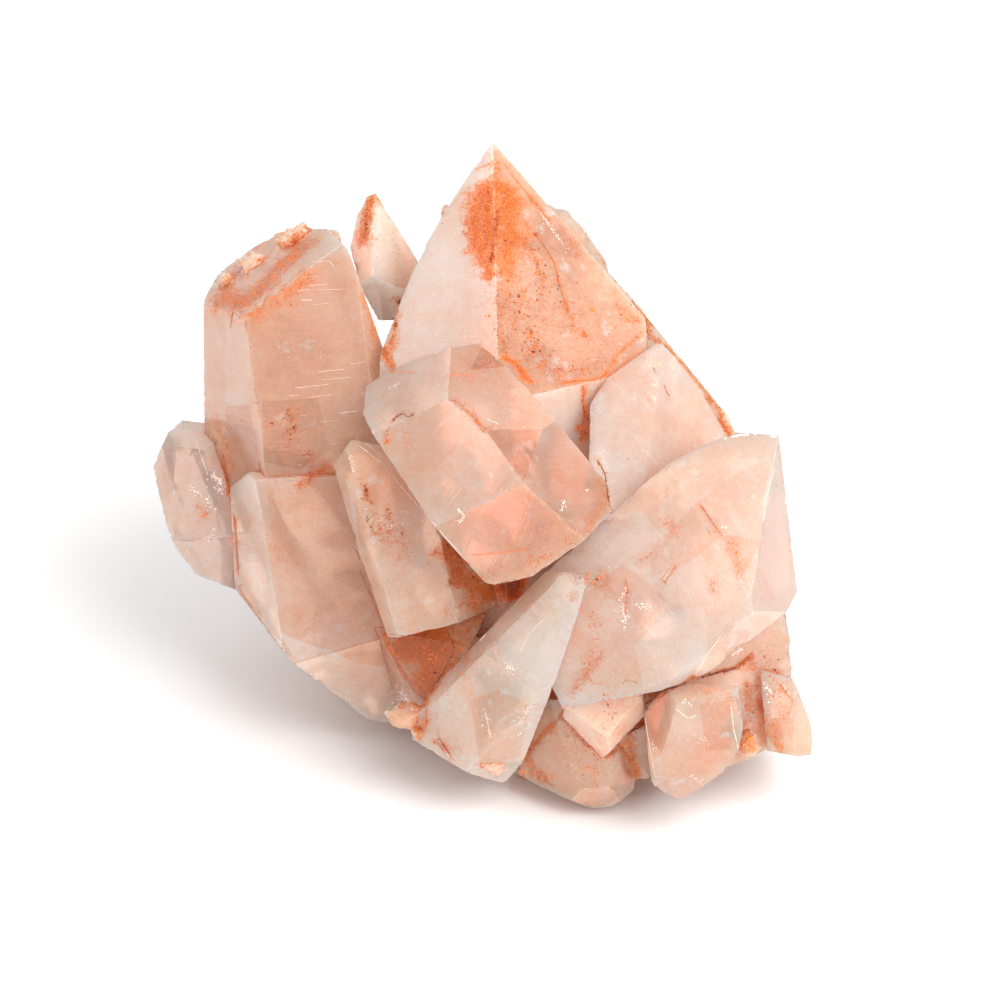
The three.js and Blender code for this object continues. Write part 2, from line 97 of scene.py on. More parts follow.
# Iron stains: points of the photo that each runs through, its half width in pixels, how strongly it
# tints the crystal, how densely rust grains lie on it, and how dark these are
STAINS = {
    "main point, patch": ([(480, 197), (475, 215), (476, 236), (484, 258)], 11, 1.1, 0.7, 0.15),
    "main point, patch top": ([(497, 185), (510, 194), (511, 206)], 9, 1.1, 1.3, 0.25),
    "main point, dark streak": ([(498, 210), (495, 236), (491, 262)], 3.5, 1.6, 2.0, 0.9),
    "main point, patch right": ([(506, 205), (512, 232), (506, 262)], 14, 0.95, 0.9, 0.25),
    "main point, patch left": ([(463, 232), (470, 240)], 3, 0.4, 0.8, 0.6),
    "main point, under the tip": ([(499, 163), (494, 182)], 5, 0.6, 0.4, 0.2),
    "main point, tip": ([(505, 153), (511, 161)], 3.5, 0.9, 0.8, 0.3),
    "main point, left rim": ([(454, 203), (463, 193), (472, 185)], 2.5, 0.4, 0.5, 0.1),
    "main point, tip line": ([(477, 169), (489, 164)], 2, 0.5, 0.5, 0.2),
    "main point, rim": ([(504, 164), (520, 184), (535, 203), (551, 223)], 2.4, 0.6, 0.6, 0.4),
    "main point, arc": ([(519, 214), (531, 229), (546, 248), (554, 262), (559, 284), (565, 302), (572, 330)], 1.7, 0.6, 0.9, 0.6),
    "main point, inside the arc": ([(520, 235), (535, 255), (545, 290)], 14, 0.05, 0.5, 0.35),
    "main point, speckled face": ([(510, 280), (522, 315), (535, 350)], 34, 0.12, 0.45, 0.3),
    "main point, speckled foot": ([(520, 350), (560, 372), (600, 368)], 17, 0.15, 0.35, 0.35),
    "main point, foot": ([(504, 357), (515, 364), (530, 381)], 2.6, 1.2, 1.3, 0.4),
    "main point, right foot": ([(562, 382), (597, 379), (607, 372), (622, 350), (645, 331)], 2.4, 0.7, 0.6, 0.35),
    "main point, right corner": ([(618, 306), (626, 320), (637, 318), (648, 330)], 5, 0.6, 0.6, 0.5),
    "main point, lower left": ([(399, 300), (396, 318), (392, 345)], 6, 0.7, 0.6, 0.6),
    "main point, left foot": ([(383, 350), (388, 362), (393, 369)], 5, 1.0, 0.9, 0.4),
    "ridge, patch": ([(583, 228), (596, 242), (602, 258)], 8, 0.9, 0.7, 0.2),
    "ridge, speckles": ([(568, 232), (578, 256)], 10, 0.05, 0.25, 0.3),
    "ridge, edge": ([(604, 262), (620, 282), (634, 302), (652, 325)], 3.5, 0.8, 0.6, 0.3),
    "ridge, foot": ([(654, 338), (675, 353), (695, 377), (716, 406), (734, 430)], 4, 0.7, 0.6, 0.35),
    "pale face, seam": ([(585, 384), (583, 400), (586, 420)], 2.6, 0.8, 0.7, 0.35),
    "pale face, notch": ([(577, 428), (588, 427), (583, 440)], 5, 0.9, 0.5, 0.4),
    "pale face, corner": ([(720, 423), (728, 432)], 6, 0.5, 0.5, 0.3),
    "tower, band": ([(220, 299), (246, 301), (262, 288), (280, 268), (298, 252)], 18, 0.85, 0.9, 0.0),
    "tower, band tail": ([(217, 306), (228, 312)], 9, 0.6, 0.2, 0.2),
    "tower, band lower": ([(240, 314), (262, 313), (290, 292), (306, 276)], 11, 0.65, 0.35, 0.1),
    "tower, crumbs": ([(230, 279), (239, 272)], 5, 0.6, 0.8, 0.2),
    "tower, skyline": ([(236, 266), (256, 248), (280, 233), (312, 229)], 3, 0.6, 0.5, 0.15),
    "tower, cloud": ([(290, 408), (292, 428), (288, 446)], 12, 0.4, 0.3, 0.8),
    "tower, cloud left": ([(270, 424), (285, 420)], 5, 0.3, 0.15, 0.5),
    "tower, cloud middle": ([(306, 452), (314, 462)], 7, 0.35, 0.35, 0.7),
    "tower, cloud foot": ([(299, 486), (311, 478), (328, 466)], 6, 0.7, 0.5, 0.5),
    "tower, left crease": ([(214, 412), (226, 445), (233, 470)], 8, 0.45, 0.35, 0.35),
    "tower, left seam": ([(222, 452), (230, 488), (235, 520), (238, 570), (241, 592)], 3, 0.9, 0.9, 0.5),
    "block, left foot": ([(243, 596), (258, 612), (272, 640)], 4, 0.6, 0.5, 0.5),
    "tower, right edge": ([(363, 298), (371, 314), (378, 346)], 5, 0.55, 0.4, 0.2),
    "small point": ([(373, 197), (367, 214), (364, 240)], 9, 1.1, 1.0, 0.4),
    "small point, right": ([(392, 228), (398, 262), (402, 290)], 9, 0.25, 0.1, 0.1),
    "block, foot": ([(384, 634), (396, 660), (414, 690), (428, 702)], 4, 1.0, 0.8, 0.3),
    "block, foot seam": ([(427, 702), (427, 722), (417, 731)], 5, 0.8, 0.8, 0.4),
    "blade, orange foot": ([(408, 646), (440, 648), (428, 680)], 21, 1.35, 0.25, 0.2),
    "blade, orange foot top": ([(425, 640), (450, 636), (468, 632)], 5, 0.6, 0.4, 0.5),
    "blade, cluster": ([(363, 484), (369, 500)], 6, 0.5, 0.8, 0.75),
    "blade, red cloud": ([(362, 515), (375, 532), (400, 543)], 12, 0.4, 0.4, 0.55),
    "blade, spot": ([(387, 508), (390, 520)], 4, 0.4, 0.7, 0.6),
    "blade, right": ([(446, 548), (462, 575), (488, 592)], 11, 1.2, 0.25, 0.2),
    "blade, right foot": ([(470, 600), (480, 618)], 12, 0.7, 0.2, 0.2),
    "between": ([(503, 586), (518, 583), (512, 594)], 8, 1.9, 0.5, 0.9),
    "centre point, crack": ([(384, 438), (392, 421), (402, 413), (415, 413)], 2.5, 0.4, 0.7, 0.8),
    "centre point, left": ([(382, 446), (397, 436), (404, 440)], 8, 0.15, 0.3, 0.35),
    "centre point, ledge": ([(455, 401), (468, 411), (484, 429)], 3.5, 0.6, 0.35, 0.2),
    "centre point, inside": ([(445, 448), (452, 455)], 8, 0.22, 0, 0),
    # Painted shade: a dark triangle seen by refraction through the centre point, not a stain
    "centre point, refracted dark triangle": ([(482, 350), (496, 364), (478, 366)], 6, 0.5, 0, 0),
    "centre point, seam": ([(437, 530), (447, 545), (458, 556), (466, 570), (478, 581)], 1.8, 0.8, 1.4, 0.9),
    "centre point, foot": ([(482, 574), (520, 566), (560, 552), (590, 530)], 9, 0.4, 0.06, 0.3),
    "centre point, right seam": ([(597, 461), (604, 470), (607, 486), (609, 503), (612, 511)], 1.6, 0.9, 1.4, 0.9),
    "centre point, right": ([(600, 480), (603, 502), (590, 524)], 6, 0.5, 0.06, 0.3),
    "right point, ghost": ([(641, 560), (651, 556)], 5, 0.4, 0.15, 0.2),
    "right point, dash": ([(667, 490), (667, 496)], 3, 0.5, 0.5, 0.2),
    "right point, patch": ([(733, 548), (742, 560), (738, 572)], 8, 0.5, 0.12, 0.1),
    "right point, crack": ([(700, 504), (710, 520), (722, 537)], 2.5, 0.4, 0.6, 0.4),
    "right point, orange": ([(664, 520), (675, 532)], 7, 0.35, 0.25, 0.1),
    "right point, feather": ([(664, 583), (676, 567)], 2.5, 0.4, 0.5, 0.3),
    "right point, spot": ([(712, 582), (714, 592)], 5, 0.4, 0.2, 0.1),
    "right point, red slits": ([(626, 582), (627, 600), (624, 615)], 2, 0.7, 0.6, 0.4),
    "right point, left": ([(575, 575), (594, 584), (602, 578)], 8, 0.45, 0.3, 0.2),
    "blade and point, seam": ([(575, 598), (590, 618), (597, 640), (590, 658)], 6, 0.45, 0.25, 0.3),
    "blade and point, lower seam": ([(600, 655), (587, 672), (574, 688), (562, 716)], 7, 0.5, 0.25, 0.4),
    "front blade, left": ([(455, 655), (468, 648), (466, 662)], 4, 0.6, 0.5, 0.3),
    "front blade, low edge": ([(432, 741), (445, 746), (460, 749)], 3, 0.5, 0.6, 0.3),
    "front blade, seam": ([(560, 718), (540, 736), (527, 755), (522, 777)], 3, 1.0, 0.9, 0.5),
    "foot, corner": ([(528, 758), (533, 772), (545, 778)], 7, 0.8, 0.6, 0.3),
    "foot, body": ([(560, 745), (590, 770), (600, 790)], 24, 0.4, 0.08, 0.4),
    "wedge, left edge": ([(563, 718), (580, 738), (598, 753)], 2.5, 0.6, 0.6, 0.35),
    "wedge, right edge": ([(608, 756), (620, 747), (634, 736), (641, 722)], 4, 0.8, 0.7, 0.35),
    "foot, right seam": ([(621, 747), (629, 758), (638, 774)], 4, 1.1, 1.2, 0.5),
    "foot, low edge": ([(558, 800), (600, 805), (626, 797)], 3, 0.5, 0.5, 0.2),
    "right point, low seam": ([(644, 705), (662, 696), (688, 680)], 2, 0.9, 1.2, 0.7),
    "right point, black seam": ([(692, 678), (716, 673), (737, 667), (751, 656)], 2.4, 1.2, 1.6, 1.0),
    "rock, top": ([(744, 664), (752, 668)], 6, 0.7, 0.8, 0.4),
    "rock, left": ([(746, 684), (749, 706), (750, 738)], 5, 0.8, 0.22, 0.6),
    "rock, middle": ([(758, 702), (768, 724), (782, 750)], 6, 0.7, 0.25, 0.3),
    "rock, lines": ([(766, 670), (780, 686), (793, 701)], 2, 0.7, 0.5, 0.3),
    "low point, top": ([(690, 690), (720, 690), (735, 700)], 7, 0.3, 0.25, 0.2),
    "low point, left": ([(652, 726), (656, 740)], 5, 0.4, 0.2, 0.3),
    "bud": ([(196, 505), (206, 512), (200, 520)], 6, 0.4, 0.4, 0.4),
    "main point, patch low": ([(486, 262), (490, 275)], 6, 1.0, 0.8, 0.2),
    "main point, patch middle": ([(488, 190), (488, 215), (488, 245)], 10, 1.15, 0.7, 0.2),
    "main point, speckles right": ([(560, 300), (585, 335), (600, 358)], 24, 0.12, 0.25, 0.25),
    "main point, speckles low": ([(500, 285), (500, 330), (506, 352)], 8, 0.3, 0.5, 0.5),
    "wedge, face": ([(590, 680), (610, 700), (615, 730)], 16, 0.1, 0.12, 0.4),
    "right rock": ([(765, 655), (780, 690), (785, 730)], 16, 0.3, 0.12, 0.3),
    "right rock, chip": ([(742, 742), (752, 748)], 5, 0.8, 0.5, 0.3),
    "crease between the foot and the low point": ([(628, 745), (634, 762), (636, 776)], 7, 0.9, 0.5, 0.4),
    "crease of the blades, edge": ([(449, 634), (455, 648), (443, 672), (430, 694)], 1.6, 0.6, 1.1, 0.8),
    "crease of the blades, side": ([(470, 626), (466, 642), (452, 662)], 5, 0.5, 0.2, 0.2),
}

# Bright flaws and glints: points of the photo, half width in pixels, how densely bright flecks lie on each.
# The flecks are partly white inclusions and chips, partly painted glints where light catches.
FLAWS_AND_GLINTS = {
    "bud, patch": ([(211, 476), (221, 480), (218, 494)], 6, 1.0),
    "bud, wisps": ([(190, 490), (203, 496), (212, 508)], 7, 0.5),
    "bud, low": ([(213, 530), (209, 542)], 2.5, 0.7),
    "small point, top": ([(376, 215), (382, 240)], 5, 0.3),
    "centre point, low left": ([(459, 510), (464, 515), (459, 523)], 3.5, 1.0),
    "centre point, dots": ([(490, 474), (492, 477)], 2, 0.8),
    "centre point, right": ([(565, 498), (562, 510)], 2.5, 0.8),
    "centre point, small": ([(588, 489), (586, 491)], 2, 0.8),
    "centre point, top": ([(438, 395), (443, 395)], 2, 0.8),
    "centre point, veil": ([(390, 388), (402, 382)], 5, 0.3),
    "blade, top": ([(350, 455), (353, 472)], 4, 0.7),
    "blade, dust": ([(365, 508), (385, 530), (402, 522)], 10, 0.2),
    "right point, feathers": ([(626, 586), (620, 604), (626, 618), (623, 633)], 5, 0.7),
    "right point, veil": ([(634, 604), (646, 608)], 6, 0.6),
    "right point, star": ([(722, 527), (728, 528)], 2.5, 1.0),
    "right point, low": ([(732, 656), (742, 648)], 4, 0.9),
    "right point, right": ([(770, 498), (767, 508)], 2, 0.8),
    "front blade, cloud": ([(506, 664), (516, 672)], 8, 0.35),
    "front blade, foot": ([(528, 706), (518, 736)], 9, 0.35),
    "front blade, streaks": ([(484, 710), (491, 738)], 4, 0.35),
    "block, chip": ([(397, 690), (409, 702)], 9, 2.4),
    "low point, corner": ([(652, 742), (656, 752)], 3, 0.8),
    "low point, left edge": ([(653, 762), (656, 778)], 2, 0.8),
    "low point, middle": ([(700, 738), (708, 743)], 5, 0.4),
    "low point, foot": ([(690, 776), (704, 784)], 5, 0.35),
    "low point, veil": ([(682, 702), (692, 706)], 5, 0.4),
    "rock, glints": ([(763, 682), (770, 692), (773, 706)], 4, 0.8),
    "pale face": ([(652, 386), (657, 383)], 2, 0.9),
    "tower, top": ([(288, 226), (300, 221)], 4, 0.4),
    "tower, crumbs": ([(230, 270), (240, 268)], 5, 0.5),
    "main point, rim": ([(541, 214), (555, 234), (570, 251)], 3, 0.6),
}

# Creases that are grown together without a gap or rust: points of the photo
GROWN = {
    "tower and block": [(262, 488), (300, 489), (348, 486)],
}
GROWN_REACH = 1.8 * MM

# Fine lines: points of the photo, width in pixels, shade: below 0 bright, 0 orange, 1 dark.
# The bright ones are painted glints and highlights, for light catching the striations and edges.
LINES = {
    "tower, striation glint 1": ([(295, 388), (330, 384)], 0.56, -1),
    "tower, striation glint 2": ([(340, 413), (358, 411)], 0.88, -1),
    "tower, striation glint 3": ([(297, 291), (311, 289)], 0.72, -1),
    "tower, striation glint 4": ([(306, 286), (328, 284)], 0.72, -1),
    "tower, striation glint 5": ([(316, 290), (345, 289)], 0.48, -1),
    "tower, striation glint 6": ([(301, 300), (313, 300)], 0.88, -1),
    "tower, striation glint 7": ([(309, 262), (329, 261), (335, 268)], 0.56, -1),
    "tower, striation glint 8": ([(332, 444), (343, 442)], 0.56, -1),
    "tower, striation glint 9": ([(309, 398), (334, 394)], 0.48, -1),
    "tower, striation glint 10": ([(298, 416), (310, 414)], 0.48, -1),
    "tower, striation glint 11": ([(318, 372), (346, 369)], 0.48, -1),
    "tower, striation glint 12": ([(363, 392), (365, 402)], 0.64, -1),
    "tower, red slit": ([(235, 303), (232, 316), (230, 329)], 1.6, 0.45),
    "tower, curl": ([(255, 304), (258, 309), (263, 308), (266, 297), (272, 297)], 1.2, 0.6),
    "bud, edge": ([(196, 441), (202, 458), (208, 476)], 0.8, -1),
    "blade, edge": ([(360, 446), (381, 463)], 1.1, -1),
    "blade, edge 2": ([(366, 443), (383, 458)], 0.64, -1),
    "centre point, edge": ([(384, 466), (410, 497), (437, 527)], 0.64, -1),
    "centre point, edge 2": ([(440, 531), (462, 556)], 0.56, -1),
    "centre point, light edge": ([(487, 419), (500, 425)], 0.88, -1),
    "centre point, thread": ([(446, 376), (456, 374), (468, 375), (478, 383)], 1, 0.1),
    "centre point, thread 2": ([(380, 372), (400, 372), (418, 373)], 0.9, 0.1),
    "centre point, thread 3": ([(472, 555), (500, 553), (530, 549)], 0.9, 0.1),
    "centre point, crack": ([(393, 421), (397, 415), (404, 414), (408, 417), (415, 414)], 1.2, 0.9),
    "main point, left crack": ([(400, 300), (398, 308), (396, 316)], 1.8, 1.1),
    "main point, rim": ([(520, 185), (534, 202), (545, 215), (552, 222)], 1.3, 0.3),
    "main point, rim light": ([(538, 210), (547, 222), (556, 234)], 0.64, -0.6),
    "main point, arc": ([(536, 236), (547, 250), (554, 262), (559, 284), (565, 301), (570, 314)], 1, 0.5),
    "main point, right slit": ([(645, 330), (656, 343)], 1.2, 0.6),
    "main point, tip line": ([(477, 169), (483, 167), (489, 164)], 1, 0.2),
    "main point, foot line": ([(565, 383), (580, 381), (597, 379), (606, 374)], 1.2, 0.4),
    "pale face, slit": ([(653, 367), (656, 373)], 1, 0.9),
    "pale face, slit 2": ([(664, 385), (667, 392), (670, 397)], 1.1, 0.8),
    "pale face, seam": ([(584, 386), (582, 400), (585, 418)], 1.2, 0.4),
    "right point, top": ([(718, 440), (740, 435), (760, 434), (778, 437)], 2.8, -1),
    "right point, right": ([(764, 505), (770, 485), (775, 468)], 0.64, -1),
    "right point, feather": ([(664, 584), (670, 574), (676, 566)], 0.8, 0.5),
    "right point, feather 2": ([(661, 580), (668, 570)], 0.8, 0.5),
    "right point, crack": ([(700, 505), (708, 516), (720, 533)], 1, 0.6),
    "right point, black seam": ([(694, 678), (704, 677), (716, 673), (730, 670), (738, 667)], 2.2, 1.2),
    "right point, black seam 2": ([(738, 667), (745, 661), (751, 656)], 1.4, 0.8),
    "right point, low seam": ([(645, 704), (662, 696), (676, 688), (688, 680)], 1, 0.7),
    "right point, low edge": ([(695, 675), (708, 654), (722, 634)], 0.64, -0.7),
    "front blade, left edge": ([(480, 641), (499, 617), (516, 599)], 1, -1),
    "front blade, arc": ([(520, 652), (528, 636), (544, 618)], 0.8, -0.6),
    "front blade, streak": ([(485, 712), (488, 724), (491, 738)], 0.56, -0.8),
    "front blade, thread": ([(462, 672), (468, 690), (474, 700)], 0.8, 0.1),
    "low point, glint": ([(677, 709), (683, 715), (690, 719)], 0.8, -1),
    "low point, glint 2": ([(690, 718), (697, 715)], 1, -1),
    "low point, left edge": ([(645, 718), (650, 748), (655, 776)], 0.64, -0.8),
    "low point, right edge": ([(731, 706), (734, 730), (739, 752)], 0.88, -0.8),
    "low point, fibre": ([(622, 684), (626, 680), (633, 681), (638, 684)], 0.7, 1),
    "rock, glint": ([(783, 685), (790, 695)], 0.8, -1),
    "foot, right seam": ([(621, 747), (628, 757), (637, 773)], 1.4, 0.7),
    "block, fibre": ([(352, 546), (357, 552), (360, 561)], 0.7, 1),
    "block, right seam": ([(360, 570), (366, 585), (376, 608), (382, 624)], 1, 0.6),
    "tower, striation glint 13": ([(322, 380), (352, 377)], 0.4, -0.8),
    "tower, striation glint 14": ([(300, 278), (318, 276)], 0.4, -0.8),
    "tower, striation glint 15": ([(288, 396), (300, 395)], 0.4, -0.8),
    "tower, striation glint 16": ([(350, 364), (366, 362)], 0.4, -0.8),
    "tower, striation glint 17": ([(320, 422), (340, 420)], 0.4, -0.8),
    "tower, striation glint 18": ([(312, 305), (330, 303)], 0.4, -0.8),
    "crease of the blades": ([(449, 634), (455, 648), (443, 672), (430, 694)], 1.0, 1.0),
    "crease of the blades, top": ([(384, 634), (410, 636), (449, 633)], 1.0, 0.7),
    "centre point, right seam": ([(600, 464), (605, 474), (607, 490), (609, 503)], 1.3, 1.1),
}


def camera():
    data = bpy.data.cameras.new("camera")
    data.sensor_width = SENSOR_WIDTH
    data.lens = FOCAL_PIXELS * SENSOR_WIDTH / PHOTO_PIXELS
    data.clip_start = 0.01
    data.clip_end = 20
    made = bpy.data.objects.new("camera", data)
    made.location = VIEW_TARGET + BACK * VIEW_DISTANCE
    made.rotation_mode = "QUATERNION"
    made.rotation_quaternion = (-BACK).to_track_quat("-Z", "Y")
    bpy.context.scene.collection.objects.link(made)
    bpy.context.scene.camera = made
    return made


def sight_line(x, y):
    """The ray through a pixel of the photo, as its start and direction."""
    middle = PHOTO_PIXELS / 2
    across = (x - middle) / FOCAL_PIXELS
    upward = (middle - y) / FOCAL_PIXELS
    return VIEW_TARGET + BACK * VIEW_DISTANCE, (RIGHT * across + UP * upward - BACK).normalized()


# ---- mesh


def clean_solid(source):
    bm = bmesh.new()
    bm.from_mesh(source.data)
    bmesh.ops.remove_doubles(bm, verts=bm.verts, dist=WELD)
    bmesh.ops.dissolve_limit(bm, angle_limit=FLAT_ANGLE, verts=bm.verts, edges=bm.edges)
    bmesh.ops.dissolve_degenerate(bm, dist=SLIVER, edges=bm.edges)
    return bm


def mark_facets(bm):
    """Keeps each flat facet's area on its faces."""
    area = bm.faces.layers.float.new("facet")
    for face in bm.faces:
        face[area] = face.calc_area()
    bmesh.ops.triangulate(bm, faces=bm.faces, quad_method="BEAUTY", ngon_method="BEAUTY")


def mark_crystals(bm):
    """Numbers the crystals. They meet in hollow creases, so a crystal ends at such an edge."""
    layer = bm.faces.layers.int.new("crystal")
    for face in bm.faces:
        face[layer] = -1
    count = 0
    for seed in bm.faces:
        if seed[layer] >= 0:
            continue
        seed[layer] = count
        todo = [seed]
        while todo:
            face = todo.pop()
            for edge in face.edges:
                if len(edge.link_faces) != 2 or edge.calc_face_angle_signed(0) < -CREASE_ANGLE:
                    continue
                for other in edge.link_faces:
                    if other[layer] < 0:
                        other[layer] = count
                        todo.append(other)
        count += 1
    return count


def inside(spot, corners):
    """Whether a point of the photo lies inside a polygon of it."""
    x, y = spot
    found = False
    for (ax, ay), (bx, by) in zip(corners, corners[1:] + corners[:1]):
        if (ay > y) != (by > y) and x < ax + (bx - ax) * (y - ay) / (by - ay):
            found = not found
    return found


def pixel_of(point):
    away = point - VIEW_TARGET
    scale = FOCAL_PIXELS / (VIEW_DISTANCE - away.dot(BACK))
    return PHOTO_PIXELS / 2 + away.dot(RIGHT) * scale, PHOTO_PIXELS / 2 - away.dot(UP) * scale


def cut_shade_panes(bm):
    """Cuts the panes' outlines into the faces of their crystals and keeps how deep each one is: the painted shade and
    painted light of each.
    """
    crystal = bm.faces.layers.int["crystal"]
    shade_pane = bm.faces.layers.float.new("shade_pane")
    for corners, depth in SHADE_PANES.values():
        tree = BVHTree.FromBMesh(bm)
        bm.faces.ensure_lookup_table()
        centre = np.mean(corners, axis=0)
        own = bm.faces[tree.ray_cast(*sight_line(*centre))[2]][crystal]
        reach = max(math.dist(centre, corner) for corner in corners)
        for a, b in zip(corners, corners[1:] + corners[:1]):
            eye, first = sight_line(*a)
            wall = first.cross(sight_line(*b)[1]).normalized()
            faces = [
                face for face in bm.faces
                if face[crystal] == own and face.normal.dot(BACK) > 0
                and min(math.dist(centre, pixel_of(vert.co)) for vert in face.verts) < 60 + reach
            ]
            edges = {edge for face in faces for edge in face.edges}
            verts = {vert for face in faces for vert in face.verts}
            bmesh.ops.bisect_plane(
                bm, geom=[*faces, *edges, *verts], dist=WELD, plane_co=eye, plane_no=wall,
            )
        for face in bm.faces:
            if face[crystal] == own and face.normal.dot(BACK) > 0:
                if inside(pixel_of(face.calc_center_median()), corners):
                    face[shade_pane] += depth
    bmesh.ops.triangulate(bm, faces=bm.faces, quad_method="BEAUTY", ngon_method="BEAUTY")


def triangle_arrays(bm):
    points = np.array([vert.co for vert in bm.verts])
    triangles = np.array([[vert.index for vert in face.verts] for face in bm.faces])
    crystal_layer = bm.faces.layers.int["crystal"]
    facet_layer = bm.faces.layers.float["facet"]
    shade_pane_layer = bm.faces.layers.float["shade_pane"]
    tags = np.array([
        [face[crystal_layer], face[facet_layer], face[shade_pane_layer]] for face in bm.faces
    ])
    return points, triangles, tags


def face_normals(points, triangles):
    a, b, c = (points[triangles[:, i]] for i in range(3))
    normals = np.cross(b - a, c - a)
    return normals / np.maximum(np.linalg.norm(normals, axis=1, keepdims=True), 1e-20)


def edge_table(points, triangles):
    """Each edge's two ends, each triangle's three edges and the cosine between an edge's sides."""
    count = len(points)
    pairs = np.sort(triangles[:, [[0, 1], [1, 2], [2, 0]]], axis=2)
    keys, edge_of = np.unique(pairs[..., 0] * count + pairs[..., 1], return_inverse=True)
    edge_of = edge_of.reshape(-1, 3)
    normals = face_normals(points, triangles)
    total = np.zeros((len(keys), 3))
    for side in range(3):
        np.add.at(total, edge_of[:, side], normals)
    cosine = (total ** 2).sum(1) / 2 - 1
    return keys // count, keys % count, edge_of, cosine


def refine(points, triangles, tags, stains=()):
    """Halves long edges, the longest of a triangle first, until all are short enough."""
    while True:
        start, end, edge_of, cosine = edge_table(points, triangles)
        length = np.linalg.norm(points[start] - points[end], axis=1)
        ridge = cosine < math.cos(CREASE_ANGLE)
        limit = np.where(ridge, EDGE_SPACING, FACE_SPACING)
        rocky = np.zeros(len(start), bool)
        rocky[edge_of[tags[:, 1] < ROCK_FACET]] = True
        limit = np.where(rocky, ROCK_SPACING, limit)
        if stains:
            middle = (points[start] + points[end]) / 2
            near = stain_nearness(middle, stains, length / 2)
            limit = np.where(near, STAIN_SPACING, limit)
        split = length > limit
        if not split.any():
            return points, triangles, tags
        longest = np.argmax(length[edge_of], axis=1)
        while True:
            before = split.sum()
            touched = split[edge_of].any(axis=1)
            split[edge_of[touched, longest[touched]]] = True
            if split.sum() == before:
                break
        middle = np.full(len(start), -1)
        middle[split] = len(points) + np.arange(split.sum())
        points = np.vstack([points, (points[start[split]] + points[end[split]]) / 2])
        turn = (longest[:, None] + np.arange(3)) % 3
        corner = np.take_along_axis(triangles, turn, 1)
        cut = middle[np.take_along_axis(edge_of, turn, 1)]
        v0, v1, v2 = corner.T
        m0, m1, m2 = cut.T
        whole = m0 < 0
        made = [(corner[whole], tags[whole])]
        for near, other, mid, flip in ((v0, v2, m2, False), (v1, v2, m1, True)):
            for keep, shape in (
                (~whole & (mid < 0), ((near, m0, other),)),
                (~whole & (mid >= 0), ((near, m0, mid), (mid, m0, other))),
            ):
                for ends in shape:
                    part = np.stack(ends, axis=1)[keep]
                    made.append((part[:, ::-1] if flip else part, tags[keep]))
        triangles = np.vstack([part for part, _ in made])
        tags = np.vstack([tag for _, tag in made])



def along_line(points, line):
    """Each point's distance from a line through some corners."""
    nearest = np.full(len(points), np.inf)
    for a, b in zip(line[:-1], line[1:]):
        run = b - a
        share = np.clip((points - a) @ run / (run @ run), 0, 1)
        gap = np.linalg.norm(points - a - share[:, None] * run, axis=1)
        nearest = np.minimum(nearest, gap)
    return nearest


def stain_lines(points, triangles):
    """The stains' lines on the surface."""
    tree = BVHTree.FromPolygons(points.tolist(), triangles.tolist())
    lines = []
    for pixels, radius, strength, _, _ in STAINS.values():
        hits = [tree.ray_cast(*sight_line(*pixel))[0] for pixel in pixels]
        line = [np.array(hit) for hit in hits if hit]
        if len(line) > 1:
            lines.append((line, radius / PHOTO_SCALE, strength))
    return lines


def grown_over(points, tree):
    """Which points lie near the creases that are grown together."""
    near = np.zeros(len(points), bool)
    for pixels in GROWN.values():
        line = [np.array(tree.ray_cast(*sight_line(*pixel))[0]) for pixel in pixels]
        near |= along_line(points, line) < GROWN_REACH
    return near


def stain_nearness(points, stains, slack):
    near = np.zeros(len(points), bool)
    for line, radius, _ in stains:
        near |= along_line(points, line) < radius * 1.2 + slack
    return near


def stain_strength(points, stains):
    strength = np.zeros(len(points))
    warp = 1 + 0.7 * waves(points, 0.45, 2.2, 3)
    for line, radius, amount in stains:
        reach = along_line(points, line) / radius * warp
        fade = np.clip((2.1 - reach) / 2, 0, 1)
        strength = np.maximum(strength, amount * fade * fade * (3 - 2 * fade))
    return strength


def crease_points(points, triangles):
    """Points on the hollow creases, and points on the standing edges."""
    start, end, edge_of, cosine = edge_table(points, triangles)
    order = np.argsort(edge_of.ravel(), kind="stable")
    first, second = order[0::2] // 3, order[1::2] // 3
    middle = points[triangles].mean(axis=1)
    normals = face_normals(points, triangles)
    rise = ((middle[second] - middle[first]) * normals[first]).sum(1)
    ridge = cosine < math.cos(RIDGE_ANGLE)
    hollow = ridge & (rise > 0)
    standing = ridge & (rise < 0)
    return (np.unique(np.stack([start[kind], end[kind]])) for kind in (hollow, standing))


def distances(points, chosen):
    tree = kdtree.KDTree(len(chosen))
    for index in chosen:
        tree.insert(points[index], int(index))
    tree.balance()
    return np.array([tree.find(point)[2] for point in points])


def put(mesh, name, values, domain="POINT"):
    values = np.asarray(values, np.float32)
    kind = "FLOAT_VECTOR" if values.ndim == 2 else "FLOAT"
    field = "vector" if values.ndim == 2 else "value"
    mesh.attributes.new(name, kind, domain).data.foreach_set(field, values.ravel())
